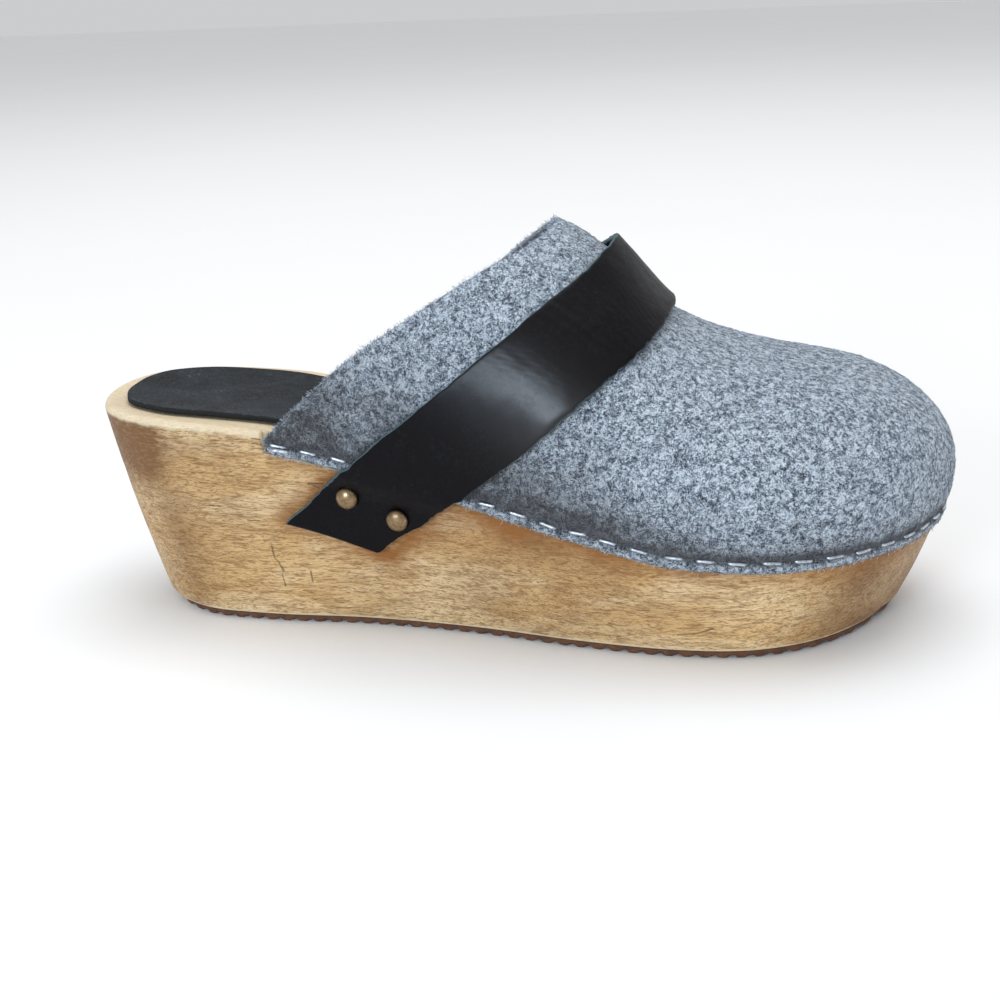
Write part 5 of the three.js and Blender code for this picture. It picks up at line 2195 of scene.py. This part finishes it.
        base = Skin.from_grid(points, marks)
        cut_back = bevel(base.marks["edge"], self.edge_round)
        near = form.gap + base.marks["lift"]
        face = base.marks["relief"] * smooth_share(base.marks["edge"], 0, 1.5)
        return base.walled(near + 0.35 * cut_back, near + self.thickness - cut_back + face)

    def folds(self, at: FloatArray, lane: FloatArray) -> FloatArray:
        """Shallow creases where the strap bends over the instep: sines across it, each under its own bell.

        Args:
            at: The way along the strap at each row.
            lane: The share of its width at each point of a row.

        Returns:
            Their depth, shape (rows, lanes).
        """
        tall, across = at[:, None], lane - 0.5
        total = np.zeros((len(at), len(lane)))
        for place, spread, rate, lean in self.fold_rows:
            wave = np.sin(2 * np.pi * rate * (tall + 0.03 * lean * lane))
            total += bell(tall - place - 0.02 * across, spread) * wave
        return 0.05 * total

    def nail_place(self, side: Side, along: float, depth: float) -> tuple[FloatArray, FloatArray, FloatArray]:
        """Where a nail stands.

        Args:
            side: Which side of the shoe.
            along: Share along the sole.
            depth: Depth below the top edge.

        Returns:
            Its seat on the wood, its way out and a way across it.
        """
        form = self.shop.form
        column = form.side_columns(np.array(along * form.sole_length), side)
        at, above = (form.side_at_depth(column, np.array(d)) for d in (depth, depth - 1))
        sideways = np.array([-column.out[1], column.out[0], 0.0])
        return at, unit(np.cross(sideways, unit(above - at))), sideways

    def nail(self, side: Side, along: float, depth: float) -> Skin:
        """A domed nail: the dome's radius is r cos(a) and its height h sin(a)^1.08, over a straight shank.

        Args:
            side: Which side of the shoe.
            along: Share along the sole.
            depth: Depth below the top edge.

        Returns:
            The closed nail.
        """
        radius, shank = self.head_radius, self.shank_radius
        seat = 2 * self.shop.form.gap + self.thickness - self.head_sink
        turn = np.linspace(0, QUARTER_TURN, 13)
        rim = [(shank, seat - 0.1), (radius * 0.86, seat - 0.12), (radius * 0.97, seat - 0.08)]
        dome = np.stack([radius * np.cos(turn), seat + self.head_height * np.sin(turn) ** 1.08], -1)
        dome[-1, 0] = 0.0
        stem = [(0.0, -self.shank_in_wood), (shank, shank - self.shank_in_wood)]
        rows = turned(np.concatenate([stem, rim, dome]), 48)
        at, out, sideways = self.nail_place(side, along, depth)
        points = at + rows @ np.stack([sideways, np.cross(out, sideways), out])
        hammered = 0.05 * soft_noise(points, 1.8, 51) * (rows[..., 2] > seat)
        return Skin.from_grid(points + out * hammered[..., None], wrap=True)


@dataclass
class Footbed:
    """The leather insole. Lengths are in millimetres."""

    shop: Workshop
    thickness: float = 1.5
    edge_round: float = 0.7
    heel_inset: float = 7.0
    inset: float = 10.0

    def build(self) -> None:
        """Builds the insole."""
        leather = LeatherFinish(
            name="insole_leather",
            black=rgb(14, 16, 19),
            faded=rgb(84, 94, 104),
            raw=rgb(40, 40, 40),
            sheen=rgb(225, 238, 250),
            dust=0.85,
            smooth=0.4,
            rough=0.66,
            pebbles=1.1,
            relief=0.24,
            gloss=0.22,
        ).material(self.shop.patterns)
        self.shop.piece("leather_insole", self.pad(), leather, "insole_leather", ["insole"])

    def pad(self) -> Skin:
        """The pad as rows round it: its underside, its rounded edge and its top, all at heights over the bed.

        Returns:
            A closed surface with the marks raw, creased and polish.
        """
        form = self.shop.form
        columns = form.all_round(72, 150, 90)
        share = smooth_share(columns.edge[:, 0], 0, form.sole_length / 3)
        inset = self.heel_inset + (self.inset - self.heel_inset) * share
        inset = inset + 0.25 * soft_noise(np.pad(columns.edge, ((0, 0), (0, 1))), 9.0, 61)
        rim = columns.edge + columns.out * (form.edge_round - inset)[:, None]
        inner = Columns(columns.spine[None], rim[None], columns.out[None])
        away = np.linalg.norm(rim - columns.spine, axis=1)

        def rows(reach: FloatArray, over: FloatArray | float) -> FloatArray:
            """Rows of the pad.

            Args:
                reach: 0 on the middle line and 1 at its edge.
                over: The height over the footbed.

            Returns:
                Points.
            """
            points = form.footbed_point(inner, reach)
            points[..., 2] += form.gap + over
            return points

        turn = np.linspace(0, QUARTER_TURN, 6)[1:, None]
        wall = self.thickness - self.edge_round
        edge_reach = 1 - self.edge_round * (1 - np.cos(turn)) / away
        under = rows(np.linspace(0, 1, 8)[:, None], 0.0)
        edge = rows(edge_reach, wall + self.edge_round * np.sin(turn))
        reach = np.concatenate([np.linspace(0.985, 0.9, 5), np.linspace(0.9, 0, 24)[1:]])[:, None]
        bed = form.footbed_point(inner, reach * edge_reach[-1:])
        dents = 0.10 * soft_noise(bed, 14.0, 62) + 0.04 * soft_noise(bed, 4.0, 63)
        top = rows(reach * edge_reach[-1:], self.thickness + dents * smooth_share(1 - reach, 0.0, 0.08))
        grid = np.concatenate([under, rows(np.array([[1.0]]), wall), edge, top])
        raw = np.zeros((len(grid), 1))
        raw[len(under) - 1 : len(under) + 3] = 0.75
        marks = {"raw": raw, "creased": np.array([[0.9]]), "polish": np.zeros((1, 1))}
        return Skin.from_grid(grid, marks, wrap=True)


def frame_shift(form: ClogForm) -> FloatArray:
    """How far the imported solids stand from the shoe's own frame, read off the wooden platform's box.

    Args:
        form: The clog's sizes.

    Returns:
        The shift in millimetres.
    """
    low, high = (np.array(corner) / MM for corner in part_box("wood_sole"))
    columns = form.all_round(72, 170, 90)
    share = np.linspace(0, 1, 20)[:, None]
    own = form.side_point(columns.tall(), share)[..., :2].reshape(-1, 2)
    middle = (own.min(0) + own.max(0)) / 2
    return np.array([*((low + high)[:2] / 2 - middle), 0.0])


def main() -> None:
    """Builds the studio and the clog's pieces, in order."""
    logging.basicConfig(level=logging.INFO, format="%(name)s: %(message)s")
    Studio().build()
    form = ClogForm()
    shop = Workshop(form, Patterns(), frame_shift(form))
    for part in (Platform(shop), Footbed(shop), Vamp(shop), Strap(shop)):
        part.build()
        LOG.info("%s is done", type(part).__name__)


if __name__ == "__main__":
    main()
